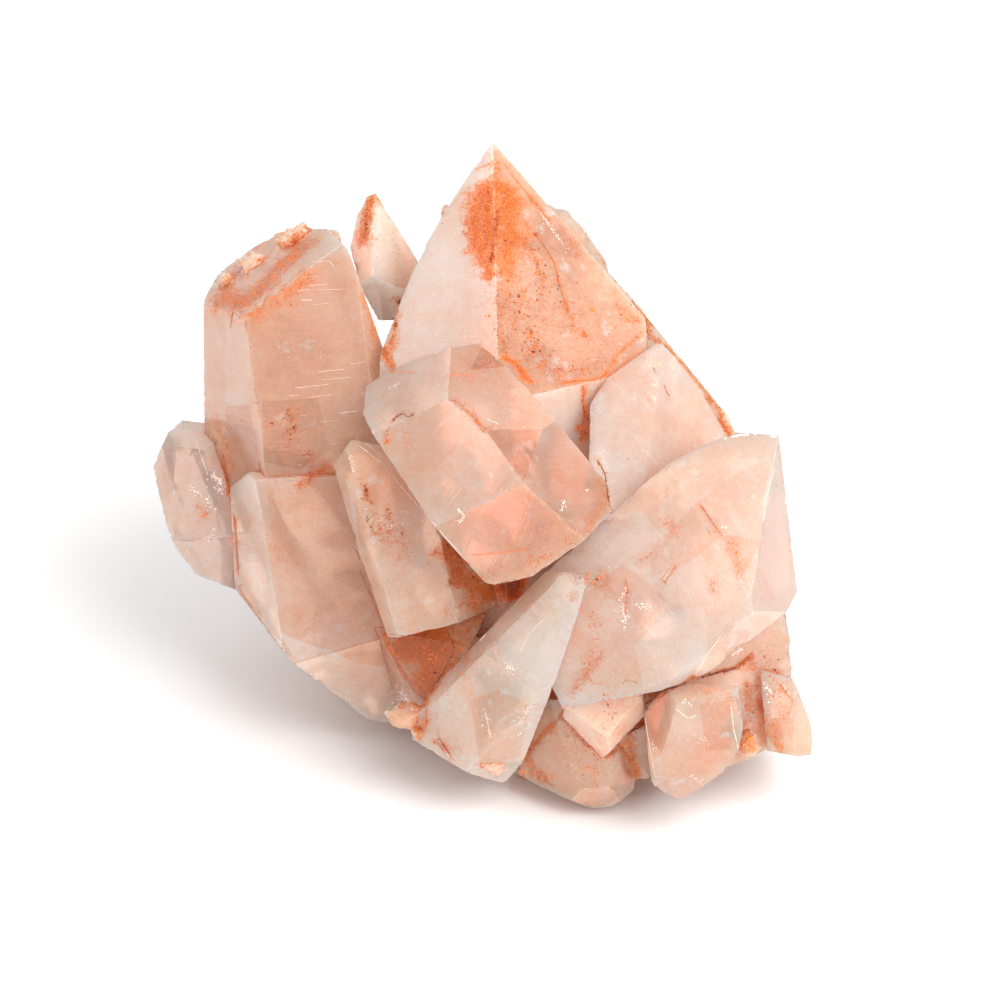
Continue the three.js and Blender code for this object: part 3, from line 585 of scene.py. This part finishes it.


# Crystals: a pixel of the photo, depth of colour from pale to peach, dimness, milkiness, material.
# The dimness is painted shade: the whole crystal is drawn darker for how the light falls on it.
CRYSTALS = {
    "tower": ((300, 380), 0.98, 0.27, 0.5, MILKY),
    "block": ((300, 560), 0.65, 0.16, 0.4, MILKY),
    "bud": ((190, 490), 0.4, 0.22, 0.6, CLEAR),
    "small point": ((390, 270), 0.3, 0.0, 0.3, FROSTED),
    "slanting blade": ((400, 560), 0.8, 0.0, 0.5, MILKY),
    "centre point": ((450, 470), 0.6, 0.0, 0.4, CLEAR),
    "main point": ((440, 300), 0.28, 0.23, 0.5, FROSTED),
    "pale face": ((670, 430), 0.3, 0.05, 0.6, MILKY),
    "right point": ((700, 560), 0.38, 0.04, 0.6, MILKY),
    "front blade": ((530, 650), 0.4, 0.0, 0.8, MILKY),
    "wedge": ((600, 730), 0.75, 0.1, 0.4, FROSTED),
    "foot": ((580, 770), 0.8, 0.0, 0.4, MILKY),
    "low point": ((690, 730), 0.7, 0.03, 0.7, CLEAR),
    "rock": ((780, 720), 0.75, 0.0, 0.5, MILKY),
    "crease of the blades": ((415, 665), 1.3, 0.0, 0.3, MILKY),
    "crease at the foot": ((632, 765), 1.0, 0.0, 0.3, MILKY),
    "chip at the rock": ((746, 745), 1.3, 0.15, 0.3, ROCK),
    "chip at the block": ((404, 714), 1.1, 0.1, 0.3, ROCK),
}
OTHER_TONE, OTHER_MILK = 0.8, 0.4

# Faces that differ from the rest of their crystal: a pixel of the photo, depth of colour, dimness
# and, where it differs too, the material. Their depth and dimness are mostly painted shade and painted
# light: a face is drawn darker or paler for how the light falls on it and shines through it.
FACE_SHADING = {
    "tower, left": ((215, 380), 0.75, 0.2),
    "tower, top": ((260, 270), 0.7, 0.0),
    "block, left": ((262, 560), 0.4, 0.0),
    "block, foot": ((340, 685), 0.4, 0.0),
    "centre point, dark": ((510, 440), 1.35, 0.12),
    "centre point, foot": ((510, 540), 0.9, 0.05),
    "centre point, top left": ((400, 400), 0.4, 0.0),
    "centre point, right": ((570, 470), 0.72, 0.28),
    "main point, right": ((560, 330), -0.1, 0.33),
    "right point, right": ((770, 520), 0.35, 0.22),
    "bud, top": ((185, 440), 0.15, 0.1),
    "ridge": ((596, 262), 1.3, 0.24),
    "centre point, top right": ((500, 400), 0.95, 0.05),
    "small point, foot": ((385, 303), -0.4, 0.0, FROSTED),
    "small point, foot left": ((366, 292), -0.4, 0.0, FROSTED),
}

# Crystals whose far side is clear as glass: a pixel of the photo
CLEAR_BEHIND = [(390, 270)]

# Shade panes: patches of painted shade and painted light, as outlines in the photo, and how much deeper
# their colour is. They stand in for inner faces that show through a flat face and for parts of faces that
# lie darker or lighter in the light; a few, such as the tower's cloud, are the crystal's own colour.
SHADE_PANES = {
    "right point, band": ([(652, 548), (700, 500), (722, 536), (690, 562), (650, 578)], 0.3),
    "right point, far side": ([(700, 500), (745, 468), (776, 458), (762, 540), (722, 536)], 0.16),
    "right point, wedge": ([(722, 536), (762, 540), (742, 578), (728, 556)], 0.28),
    "right point, left corner": ([(604, 580), (622, 563), (642, 578), (626, 604), (604, 598)], 0.4),
    "right point, under the band": ([(626, 604), (642, 578), (668, 600), (640, 630)], 0.22),
    "right point, low": ([(634, 645), (668, 612), (704, 606), (708, 650), (690, 672), (644, 690)], -0.25),
    "right point, top": ([(600, 556), (640, 510), (662, 536), (622, 562)], -0.2),
    "front blade, inner": ([(498, 662), (545, 612), (588, 622), (590, 645), (566, 690), (520, 700)], -0.12),
    # Painted shade: the same refracted dark triangle
    "centre point, refracted dark triangle": ([(482, 347), (507, 366), (470, 370)], 0.5),
    "centre point, top": ([(455, 374), (507, 368), (546, 406), (536, 424), (494, 424), (462, 400)], -0.05),
    "centre point, middle": ([(400, 410), (450, 402), (480, 430), (450, 470), (405, 470)], 0.12),
    "centre point, low middle": ([(482, 505), (520, 492), (560, 505), (548, 545), (490, 556)], 0.14),
    "tower, cloud": ([(262, 402), (318, 398), (330, 450), (300, 470), (264, 462)], 0.4),
    "blade, left": ([(346, 480), (352, 474), (360, 556)], -0.4),
    "main point, inside the arc": ([(522, 238), (548, 262), (560, 300), (564, 345), (530, 350), (506, 290)], -0.15),
    "low point, left": ([(647, 712), (670, 700), (674, 745), (655, 760)], 0.15),
    "low point, right": ([(700, 704), (730, 700), (732, 748), (706, 752)], 0.3),
    "bud, left": ([(160, 470), (182, 430), (192, 470), (176, 540)], 0.2),
    "tower, left low": ([(196, 424), (226, 420), (226, 406), (249, 405), (268, 500), (214, 500)], 0.4),
    "tower, left inner": ([(226, 300), (250, 318), (249, 405), (226, 406)], -0.2),
    "block, top": ([(266, 492), (340, 476), (356, 520), (372, 596), (322, 574), (276, 560)], 0.2),
    "block, foot left": ([(278, 632), (313, 646), (332, 651), (297, 661)], -0.5),
    "block, foot right": ([(332, 651), (356, 663), (385, 667), (377, 638)], 0.45),
    "wedge, upper part": ([(602, 654), (629, 640), (634, 690), (641, 704), (576, 706), (567, 698)], -0.05),
    "right point, right strip": ([(763, 500), (776, 446), (784, 500), (790, 584), (778, 600), (760, 566)], -0.45),
    "right point, low right": ([(708, 650), (727, 624), (752, 632), (740, 652), (700, 674)], 0.25),
    "front blade, inner low": ([(470, 700), (500, 690), (530, 706), (520, 756), (480, 768)], 0.35),
}


def crystal_axes(points, triangles, number, count):
    """Each crystal's long direction: most of its faces stand along it."""
    a, b, c = (points[triangles[:, i]] for i in range(3))
    area = np.cross(b - a, c - a) / 2
    size = np.linalg.norm(area, axis=1)
    unit = area / np.maximum(size, 1e-20)[:, None]
    axes = np.zeros((count, 3))
    for crystal in range(count):
        own = number == crystal
        spread = (unit[own] * size[own, None]).T @ unit[own]
        axes[crystal] = np.linalg.eigh(spread)[1][:, 0]
    return axes


class Shader:
    """Short names for the nodes that a material is made of."""

    def __init__(self, name):
        self.material = bpy.data.materials.new(name)
        self.material.use_nodes = True
        self.tree = self.material.node_tree
        self.tree.nodes.clear()

    def node(self, kind, settings=(), **inputs):
        made = self.tree.nodes.new(kind)
        for key, value in dict(settings).items():
            setattr(made, key, value)
        for key, value in inputs.items():
            self.set(made.inputs[key.replace("_", " ")], value)
        return made

    def set(self, socket, value):
        if isinstance(value, bpy.types.NodeSocket):
            self.tree.links.new(value, socket)
        elif value is not None:
            socket.default_value = value

    def attribute(self, name, field="Fac"):
        return self.node("ShaderNodeAttribute", {"attribute_name": name}).outputs[field]

    def math(self, operation, a, b=None, c=None, clamp=False):
        made = self.node("ShaderNodeMath", {"operation": operation, "use_clamp": clamp})
        for socket, value in zip(made.inputs, (a, b, c)):
            self.set(socket, value)
        return made.outputs[0]

    def vector(self, operation, a, b=None, scale=None):
        made = self.node("ShaderNodeVectorMath", {"operation": operation})
        self.set(made.inputs[0], a)
        self.set(made.inputs[1], b)
        if scale is not None:
            self.set(made.inputs["Scale"], scale)
        return made.outputs["Value" if operation in ("DOT_PRODUCT", "LENGTH") else 0]

    def noise(self, at, scale, detail=2, rough=0.5, distortion=0, kind="FBM"):
        made = self.node(
            "ShaderNodeTexNoise", {"noise_type": kind, "normalize": True},
            Vector=at, Scale=scale, Detail=detail, Roughness=rough, Distortion=distortion,
        )
        return made.outputs["Fac"]

    def ramp(self, value, low, high, to_low=0, to_high=1, smooth=True):
        made = self.node(
            "ShaderNodeMapRange", {"interpolation_type": "SMOOTHSTEP" if smooth else "LINEAR"},
            Value=value, From_Min=low, From_Max=high, To_Min=to_low, To_Max=to_high,
        )
        return made.outputs[0]

    def mix(self, factor, a, b):
        made = self.node("ShaderNodeMix", {"data_type": "RGBA", "clamp_factor": True})
        self.set(made.inputs["Factor"], factor)
        self.set(made.inputs[6], a)
        self.set(made.inputs[7], b)
        return made.outputs[2]


def colour(red, green, blue):
    """A colour as seen on a screen, in numbers up to 255."""
    def linear(value):
        value /= 255
        return value / 12.92 if value <= 0.04045 else ((value + 0.055) / 1.055) ** 2.4
    return (linear(red), linear(green), linear(blue), 1)


def quartz(name, clearness, glow, smooth, dull):
    sh = Shader(name)
    place = sh.vector("SCALE", sh.node("ShaderNodeTexCoord").outputs["Object"], scale=1 / MM)
    axis = sh.attribute("axis", "Vector")
    along = sh.vector("DOT_PRODUCT", place, axis)
    tone = sh.attribute("tone")
    painted_shade = sh.attribute("painted_shade")
    milk = sh.attribute("milk")
    rock = sh.attribute("rock")
    seam = sh.attribute("seam")
    edge = sh.attribute("edge")
    stain = sh.attribute("stain")
    cloud = sh.attribute("cloud")
    patch = sh.attribute("patch")

    fine = sh.noise(place, 2.8, 2, 0.7)
    grain = sh.math("SUBTRACT", fine, 0.5)
    wisps = sh.noise(place, 0.45, 3, 0.62)

    # Depth of colour: the crystal's own tone with random clouds and wisps, plus the painted shade and painted light set
    # per crystal, face and pane
    depth = sh.math("MULTIPLY_ADD", cloud, 0.4, tone)
    depth = sh.math("MULTIPLY_ADD", grain, 0.9, depth)
    depth = sh.math("MULTIPLY_ADD", sh.math("SUBTRACT", wisps, 0.5), 1.1, depth)
    body = sh.mix(depth, colour(255, 237, 226), colour(248, 193, 161))
    # Far below 0 the colour turns whitish, partly painted light where a face is set pale for light shining through it;
    # beyond 1 it turns dark brown, painted shade
    body = sh.mix(sh.ramp(depth, -0.35, -1.2), body, colour(240, 230, 227))
    body = sh.mix(sh.ramp(depth, 1, 2, smooth=False), body, colour(190, 130, 102))
    veil = sh.math("MULTIPLY", sh.ramp(wisps, 0.5, 0.68), sh.ramp(patch, -0.2, 0.4))
    veil = sh.math("MULTIPLY", veil, milk)
    body = sh.mix(veil, body, colour(255, 250, 245))
    # Painted shade: darkens the colour towards black by the dimness set per crystal and face
    body = sh.mix(painted_shade, body, (0, 0, 0, 1))

    halo = sh.ramp(seam, 0.1, 1.6, 0.3, 0)
    rusty = sh.math("MULTIPLY_ADD", patch, 0.2, sh.math("ADD", stain, halo))
    rusty = sh.math("MULTIPLY_ADD", rock, 0.25, rusty)
    tint = sh.ramp(sh.math("MULTIPLY_ADD", grain, 1.2, rusty), 0.1, 1.2)
    body = sh.mix(sh.math("MULTIPLY", tint, 0.9), body, colour(247, 134, 34))
    speck = sh.ramp(sh.math("MULTIPLY_ADD", rusty, 0.2, fine), 0.66, 0.74)
    speck = sh.math("MULTIPLY", speck, sh.ramp(rusty, 0.15, 0.6, 0, 0.75))
    body = sh.mix(speck, body, colour(206, 92, 40))
    body = sh.mix(sh.ramp(rusty, 1.3, 2.1), body, colour(146, 62, 30))
    crack = sh.ramp(sh.math("MULTIPLY_ADD", grain, -0.9, seam), 0.05, 0.28, 0.8, 0)
    crack = sh.math("MULTIPLY", crack, sh.ramp(cloud, -0.4, 0.2, 0.25, 1))
    body = sh.mix(crack, body, colour(214, 120, 78))

    # Painted highlight: the colour turns paler along the standing edges, where light catches them
    rim = sh.ramp(sh.math("MULTIPLY_ADD", grain, 0.7, edge), 0.02, 0.2, 0.12, 0)
    body = sh.mix(rim, body, colour(255, 244, 236))

    flat = sh.vector("SCALE", place, scale=0.05)
    stretch = sh.vector("SCALE", axis, scale=sh.math("MULTIPLY", along, 2.2))
    lines = sh.noise(sh.vector("ADD", flat, stretch), 1.0, 1, 0.8)
    bump = sh.node("ShaderNodeBump", Strength=0.22, Distance=0.2 * MM, Height=lines)

    rough = sh.ramp(patch, -0.5, 0.5, smooth, dull, False)
    rough = sh.math("MULTIPLY_ADD", tint, 0.35, rough)

    shell = sh.node(
        "ShaderNodeBsdfPrincipled", Base_Color=body, Roughness=rough, IOR=1.54,
        Normal=bump.outputs[0],
    )
    shell.inputs["Transmission Weight"].default_value = clearness
    shell.inputs["Subsurface Weight"].default_value = 1.0
    shell.inputs["Subsurface Radius"].default_value = (1.0, 0.9, 0.82)
    shell.inputs["Subsurface Scale"].default_value = glow * MM
    absorb = sh.node("ShaderNodeVolumeAbsorption")
    absorb.inputs["Color"].default_value = colour(252, 212, 188)
    absorb.inputs["Density"].default_value = 6
    out = sh.node("ShaderNodeOutputMaterial")
    sh.tree.links.new(shell.outputs[0], out.inputs["Surface"])
    sh.tree.links.new(absorb.outputs[0], out.inputs["Volume"])
    return sh.material


def waves(points, scale, seed, octaves=4):
    """Smooth noise from about -1 to 1, scale in waves to the millimetre."""
    shift = Vector((seed, seed * 1.7, -seed))
    return np.array([
        noise.fractal(Vector(point) * (scale / MM) + shift, 0.8, 2.1, octaves) for point in points
    ])


def vertex_normals(points, triangles):
    normals = face_normals(points, triangles)
    total = np.zeros_like(points)
    for corner in range(3):
        np.add.at(total, triangles[:, corner], normals)
    return total / np.maximum(np.linalg.norm(total, axis=1, keepdims=True), 1e-9)


def nicked(points, triangles, standing, rocky):
    """Chips the standing edges and roughens the rock."""
    normals = vertex_normals(points, triangles)
    moved = points.copy()
    on_edge = np.zeros(len(points), bool)
    on_edge[standing] = True
    chips = waves(points, 0.22, 3.1, 3)
    bites = waves(points, 0.9, 7.7, 3)
    depth = np.clip(chips - 0.25, 0, 0.5) * 0.9 + np.clip(bites - 0.2, 0, 0.6) * 0.35
    moved[on_edge] -= normals[on_edge] * depth[on_edge, None] * MM
    rough = np.zeros(len(points), bool)
    rough[triangles[rocky]] = True
    lump = waves(points, 0.35, 1.3, 5) * 0.9
    moved[rough] += normals[rough] * lump[rough, None] * MM
    moved[:, 2] = np.maximum(moved[:, 2], 0)
    return moved


def quartz_settings():
    return (
        ("clear quartz", 0.6, 9, 0.04, 0.1),
        ("milky quartz", 0.55, 9, 0.06, 0.16),
        ("rough quartz", 0.3, 8, 0.2, 0.35),
        ("frosted quartz", 0.25, 8, 0.06, 0.14),
        ("glassy quartz", 0.88, 6, 0.03, 0.06),
    )


# ---- grains of rust, bright flecks and fine lines that lie on the crystals; the bright lines and some flecks are painted glints

OCTAHEDRON = np.array([(1, 0, 0), (-1, 0, 0), (0, 1, 0), (0, -1, 0), (0, 0, 1), (0, 0, -1)])
OCTAHEDRON_FACES = np.array([
    (0, 2, 4), (2, 1, 4), (1, 3, 4), (3, 0, 4), (2, 0, 5), (1, 2, 5), (3, 1, 5), (0, 3, 5),
])


def along_pixels(rng, pixels, half, count):
    """Random points of the photo along a line, most of them near its middle."""
    corners = np.array(pixels, float)
    runs = np.diff(corners, axis=0)
    lengths = np.linalg.norm(runs, axis=1)
    pick = rng.choice(len(runs), count, p=lengths / lengths.sum())
    at = corners[pick] + runs[pick] * rng.random((count, 1))
    angle = rng.random(count) * 2 * np.pi
    off = np.clip(abs(rng.normal(0, 0.6, count)), 0, 1.5) * half
    return at + np.stack([np.cos(angle), np.sin(angle)], axis=1) * off[:, None]


def clumped(rng, pixels, sparse):
    """Keeps the points that lie in the clumps of a noise."""
    kept = []
    for x, y in pixels:
        if noise.fractal(Vector((x * 0.11, y * 0.11, 4.2)), 0.9, 2.2, 5) + rng.normal(0, 0.3) > sparse:
            kept.append((x, y))
    return kept


def drop(tree, pixels):
    """Where each pixel's line of sight meets the crystals, and the surface's direction there."""
    hits = [tree.ray_cast(*sight_line(*pixel)) for pixel in pixels]
    return [(np.array(hit[0]), np.array(hit[1])) for hit in hits if hit[0]]


def area_of(pixels, half):
    lengths = np.linalg.norm(np.diff(np.array(pixels, float), axis=0), axis=1)
    return lengths.sum() * 2 * half + math.pi * half * half


def grain_seeds(rng, tree, points, triangles, hollow):
    """Places, directions, sizes, flatness and shades of all grains and flecks."""
    seeds = []
    for pixels, half, _, density, dark in STAINS.values():
        count = int(area_of(pixels, half) * density * GRAIN_SHARE)
        for place, up in drop(tree, clumped(rng, along_pixels(rng, pixels, half, count), 0.0)):
            seeds.append((place, up, rng.lognormal(GRAIN_SIZE, 0.5), 0.45, max(rng.normal(dark, 0.35), 0)))
    for pixels, half, density in FLAWS_AND_GLINTS.values():
        count = int(area_of(pixels, half) * density * FLECK_SHARE)
        for place, up in drop(tree, clumped(rng, along_pixels(rng, pixels, half, count), -0.15)):
            seeds.append((place, up, rng.lognormal(FLECK_SIZE, 0.45), 0.2, -1 + rng.random() * 0.3))
    chosen = rng.choice(hollow, CREASE_GRAINS)
    for place in points[chosen] + rng.normal(0, 0.45 * MM, (len(chosen), 3)):
        if noise.fractal(Vector(place) / (6 * MM), 0.9, 2.2, 3) > 0.05:
            found, up, _, _ = tree.find_nearest(place)
            seeds.append((np.array(found), np.array(up), rng.lognormal(GRAIN_SIZE, 0.35), 0.45, rng.normal(0.35, 0.25)))
    a, b, c = (points[triangles[:, i]] for i in range(3))
    area = np.linalg.norm(np.cross(b - a, c - a), axis=1)
    for index in rng.choice(len(triangles), DUST_GRAINS, p=area / area.sum()):
        found, up, _, _ = tree.find_nearest((a[index] + b[index] + c[index]) / 3)
        shade = rng.choice((-0.8, 0.6, 1.0))
        seeds.append((np.array(found), np.array(up), rng.lognormal(DUST_SIZE, 0.3), 0.4, shade))
    return seeds


def grain_mesh(rng, seeds):
    """Each grain is a small flat eight-sided lump, turned at random about the surface's direction."""
    places, ups = (np.array([seed[i] for seed in seeds]) for i in range(2))
    size, flat, shade = (np.array([seed[i] for seed in seeds]) for i in range(2, 5))
    helper = rng.normal(0, 1, (len(seeds), 3))
    side = np.cross(ups, helper)
    side /= np.linalg.norm(side, axis=1, keepdims=True)
    other = np.cross(ups, side)
    stretch = rng.uniform(0.6, 1.7, len(seeds))
    corners = OCTAHEDRON[None] * rng.uniform(0.7, 1.3, (len(seeds), 6, 1))
    corners = (
        corners[..., :1] * (side * (size * stretch)[:, None])[:, None]
        + corners[..., 1:2] * (other * (size / stretch)[:, None])[:, None]
        + corners[..., 2:] * (ups * (size * flat)[:, None])[:, None]
    ) * MM + places[:, None]
    faces = OCTAHEDRON_FACES[None] + 6 * np.arange(len(seeds))[:, None, None]
    return corners.reshape(-1, 3), faces.reshape(-1, 3), np.repeat(shade, 8)


def line_mesh(rng, tree):
    """Each line is a strip with a low ridge along its middle, uneven in width."""
    corners, faces, shades = [], [], []
    for pixels, width, shade in LINES.values():
        ends = np.array(pixels, float)
        runs = np.diff(ends, axis=0)
        lengths = np.linalg.norm(runs, axis=1)
        steps = np.concatenate([[0], np.cumsum(lengths)])
        at = np.arange(0, steps[-1], 1.2)
        spine = np.stack([np.interp(at, steps, ends[:, i]) for i in range(2)], axis=1)
        spine += rng.normal(0, 0.22 * min(width, 1.6), spine.shape)
        ahead = np.gradient(spine, axis=0)
        across = np.stack([-ahead[:, 1], ahead[:, 0]], axis=1)
        across /= np.maximum(np.linalg.norm(across, axis=1, keepdims=True), 1e-6)
        half = width / 2 * rng.uniform(0.45, 1.25, len(at)) * np.minimum(1, 6 * (1 - at / steps[-1]) * (at / steps[-1] + 0.04) * 4)
        before = None
        for spot, aside in zip(spine, across * half[:, None]):
            row = drop(tree, (spot - aside, spot, spot + aside))
            if len(row) < 3 or np.ptp([place for place, _ in row], axis=0).max() > LINE_REACH:
                before = None
                continue
            first = len(corners)
            for lift, (place, up) in zip((-0.015, 0.05, -0.015), row):
                corners.append(place + up * lift * MM)
            if before is not None and np.linalg.norm(corners[first + 1] - corners[before + 1]) < MM:
                for i in (0, 1):
                    a, b, c, d = before + i, before + i + 1, first + i + 1, first + i
                    faces += [(a, b, c), (a, c, d)]
                    shades += [shade, shade]
            before = first
    return np.array(corners), np.array(faces), np.array(shades)


def deposit_and_glint(name):
    """Rust, bright quartz dust and painted glints, by the face's shade: below 0 bright, 0 orange, 1 dark brown."""
    sh = Shader(name)
    place = sh.vector("SCALE", sh.node("ShaderNodeTexCoord").outputs["Object"], scale=1 / MM)
    shade = sh.attribute("shade")
    speckle = sh.noise(place, 4.0, 1, 0.6)
    depth = sh.math("MULTIPLY_ADD", sh.math("SUBTRACT", speckle, 0.5), 0.8, shade)
    body = sh.mix(depth, colour(242, 128, 54), colour(114, 46, 20))
    body = sh.mix(sh.ramp(shade, -0.25, -0.7), body, colour(252, 231, 219))
    rough = sh.ramp(shade, -0.7, 0, 0.25, 0.75, False)
    bump = sh.node("ShaderNodeBump", Strength=0.5, Distance=0.05 * MM, Height=speckle)
    shell = sh.node(
        "ShaderNodeBsdfPrincipled", Base_Color=body, Roughness=rough, IOR=1.54, Normal=bump.outputs[0],
    )
    out = sh.node("ShaderNodeOutputMaterial")
    sh.tree.links.new(shell.outputs[0], out.inputs["Surface"])
    return sh.material


def deposits(shaped, triangles, hollow):
    rng = np.random.default_rng(11)
    tree = BVHTree.FromPolygons(shaped.tolist(), triangles.tolist())
    grains = grain_mesh(rng, grain_seeds(rng, tree, shaped, triangles, hollow))
    lines = line_mesh(rng, tree)
    corners = np.vstack([grains[0], lines[0]])
    corners[:, 2] = np.maximum(corners[:, 2], 0)
    faces = np.vstack([grains[1], lines[1] + len(grains[0])])
    mesh = bpy.data.meshes.new("deposits")
    mesh.from_pydata(corners.tolist(), [], faces.tolist())
    put(mesh, "shade", np.concatenate([grains[2], lines[2]]), "FACE")
    mesh.materials.append(deposit_and_glint("rust, dust and glints"))
    made = bpy.data.objects.new("deposits", mesh)
    bpy.context.scene.collection.objects.link(made)
    print("deposit triangles", len(faces), "lines", len(lines[1]))
    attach(made, "root")


def crystals():
    bm = clean_solid(frame["nodes"]["quartz_cluster"])
    mark_facets(bm)
    count = mark_crystals(bm)
    cut_shade_panes(bm)
    bm.verts.index_update()
    points, triangles, tags = triangle_arrays(bm)
    bm.free()
    stains = stain_lines(points, triangles)
    points, triangles, tags = refine(points, triangles, tags, stains)
    number = tags[:, 0].astype(int)
    axes = crystal_axes(points, triangles, number, count)
    hollow, standing = crease_points(points, triangles)

    tree = BVHTree.FromPolygons(points.tolist(), triangles.tolist())
    hollow = hollow[~grown_over(points[hollow], tree)]
    rocky = (tags[:, 1] < ROCK_FACET)
    kind = np.where(rocky, ROCK, MILKY)
    tone = np.full(len(triangles), OTHER_TONE)
    milk = np.full(len(triangles), OTHER_MILK)
    # Painted shade: how much darker each face is drawn, for how the light falls on it
    painted_shade = np.zeros(len(triangles))
    for name, (pixel, depth, painted_dimness, milkiness, substance) in CRYSTALS.items():
        own = number == number[tree.ray_cast(*sight_line(*pixel))[2]]
        tone[own], painted_shade[own], milk[own], kind[own] = depth, painted_dimness, milkiness, substance
        rocky[own] = substance == ROCK
    normals = face_normals(points, triangles)
    offset = (normals * points[triangles[:, 0]]).sum(1)
    # Painted shade and painted light, face by face
    for pixel, depth, painted_dimness, *substance in FACE_SHADING.values():
        hit = tree.ray_cast(*sight_line(*pixel))[2]
        flat = normals @ normals[hit] > math.cos(FLAT_ANGLE * 2)
        flat &= abs(offset - offset[hit]) < SLIVER
        tone[flat], painted_shade[flat] = depth, painted_dimness
        if substance:
            kind[flat] = substance[0]
    for pixel in CLEAR_BEHIND:
        own = number == number[tree.ray_cast(*sight_line(*pixel))[2]]
        kind[own & (normals @ np.array(BACK) < -0.4)] = GLASSY
    # Adds the panes' painted shade and painted light to the depth of colour
    tone += tags[:, 2]
    mesh = bpy.data.meshes.new("crystals")
    shaped = nicked(points, triangles, standing, rocky)
    mesh.from_pydata(shaped.tolist(), [], triangles.tolist())
    mesh.validate()
    put(mesh, "axis", axes[number], "FACE")
    put(mesh, "tone", tone, "FACE")
    put(mesh, "painted_shade", painted_shade, "FACE")
    put(mesh, "milk", milk, "FACE")
    put(mesh, "rock", rocky, "FACE")
    put(mesh, "seam", distances(points, hollow) / MM)
    put(mesh, "edge", distances(points, standing) / MM)
    put(mesh, "stain", stain_strength(points, stains))
    put(mesh, "cloud", waves(points, 0.06, 5.5, 3))
    put(mesh, "patch", waves(points, 0.2, 9.1, 5))
    made = bpy.data.objects.new("crystals", mesh)
    bpy.context.scene.collection.objects.link(made)
    for settings in quartz_settings():
        mesh.materials.append(quartz(*settings))
    mesh.polygons.foreach_set("material_index", kind.astype(np.int32))
    print("triangles", len(triangles))
    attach(made, "root")
    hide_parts("quartz_cluster")
    deposits(shaped, triangles, hollow)


def studio():
    world = bpy.data.worlds.new("studio")
    world.use_nodes = True
    tree = world.node_tree
    facing = tree.nodes.new("ShaderNodeVectorMath")
    facing.operation = "DOT_PRODUCT"
    facing.inputs[1].default_value = (0.2, 0.65, 0.73)
    tree.links.new(tree.nodes.new("ShaderNodeTexCoord").outputs["Generated"], facing.inputs[0])
    sky = tree.nodes.new("ShaderNodeMapRange")
    for name, value in (("From Min", -0.6), ("From Max", 1.0), ("To Min", 0.94), ("To Max", 0.99)):
        sky.inputs[name].default_value = value
    tree.links.new(facing.outputs["Value"], sky.inputs["Value"])
    tree.links.new(sky.outputs[0], tree.nodes["Background"].inputs["Strength"])
    tree.nodes["Background"].inputs["Color"].default_value = (1, 1, 1, 1)
    bpy.context.scene.world = world
    bpy.context.scene.view_settings.view_transform = "Standard"
    for name, place, size, power in (
        ("key", (0.5, -0.5, 0.72), 0.7, 11),
    ):
        light = bpy.data.lights.new(name, "AREA")
        light.size = size
        light.energy = power
        made = bpy.data.objects.new(name, light)
        made.visible_glossy = False
        made.visible_transmission = False
        made.location = place
        made.rotation_mode = "QUATERNION"
        made.rotation_quaternion = (Vector((0, 0, 0.04)) - Vector(place)).to_track_quat("-Z", "Y")
        bpy.context.scene.collection.objects.link(made)
    mesh = bpy.data.meshes.new("table")
    half = 3
    mesh.from_pydata([(-half, -half, 0), (half, -half, 0), (half, half, 0), (-half, half, 0)], [], [(0, 1, 2, 3)])
    table = bpy.data.objects.new("table", mesh)
    bpy.context.scene.collection.objects.link(table)
    sh = Shader("table")
    shell = sh.node("ShaderNodeBsdfPrincipled", Base_Color=(0.9, 0.9, 0.9, 1), Roughness=0.6)
    out = sh.node("ShaderNodeOutputMaterial")
    sh.tree.links.new(shell.outputs[0], out.inputs["Surface"])
    mesh.materials.append(sh.material)


for leftover in [o for o in bpy.data.objects if o.name == "Cube"]:
    bpy.data.objects.remove(leftover)
crystals()
camera()
studio()
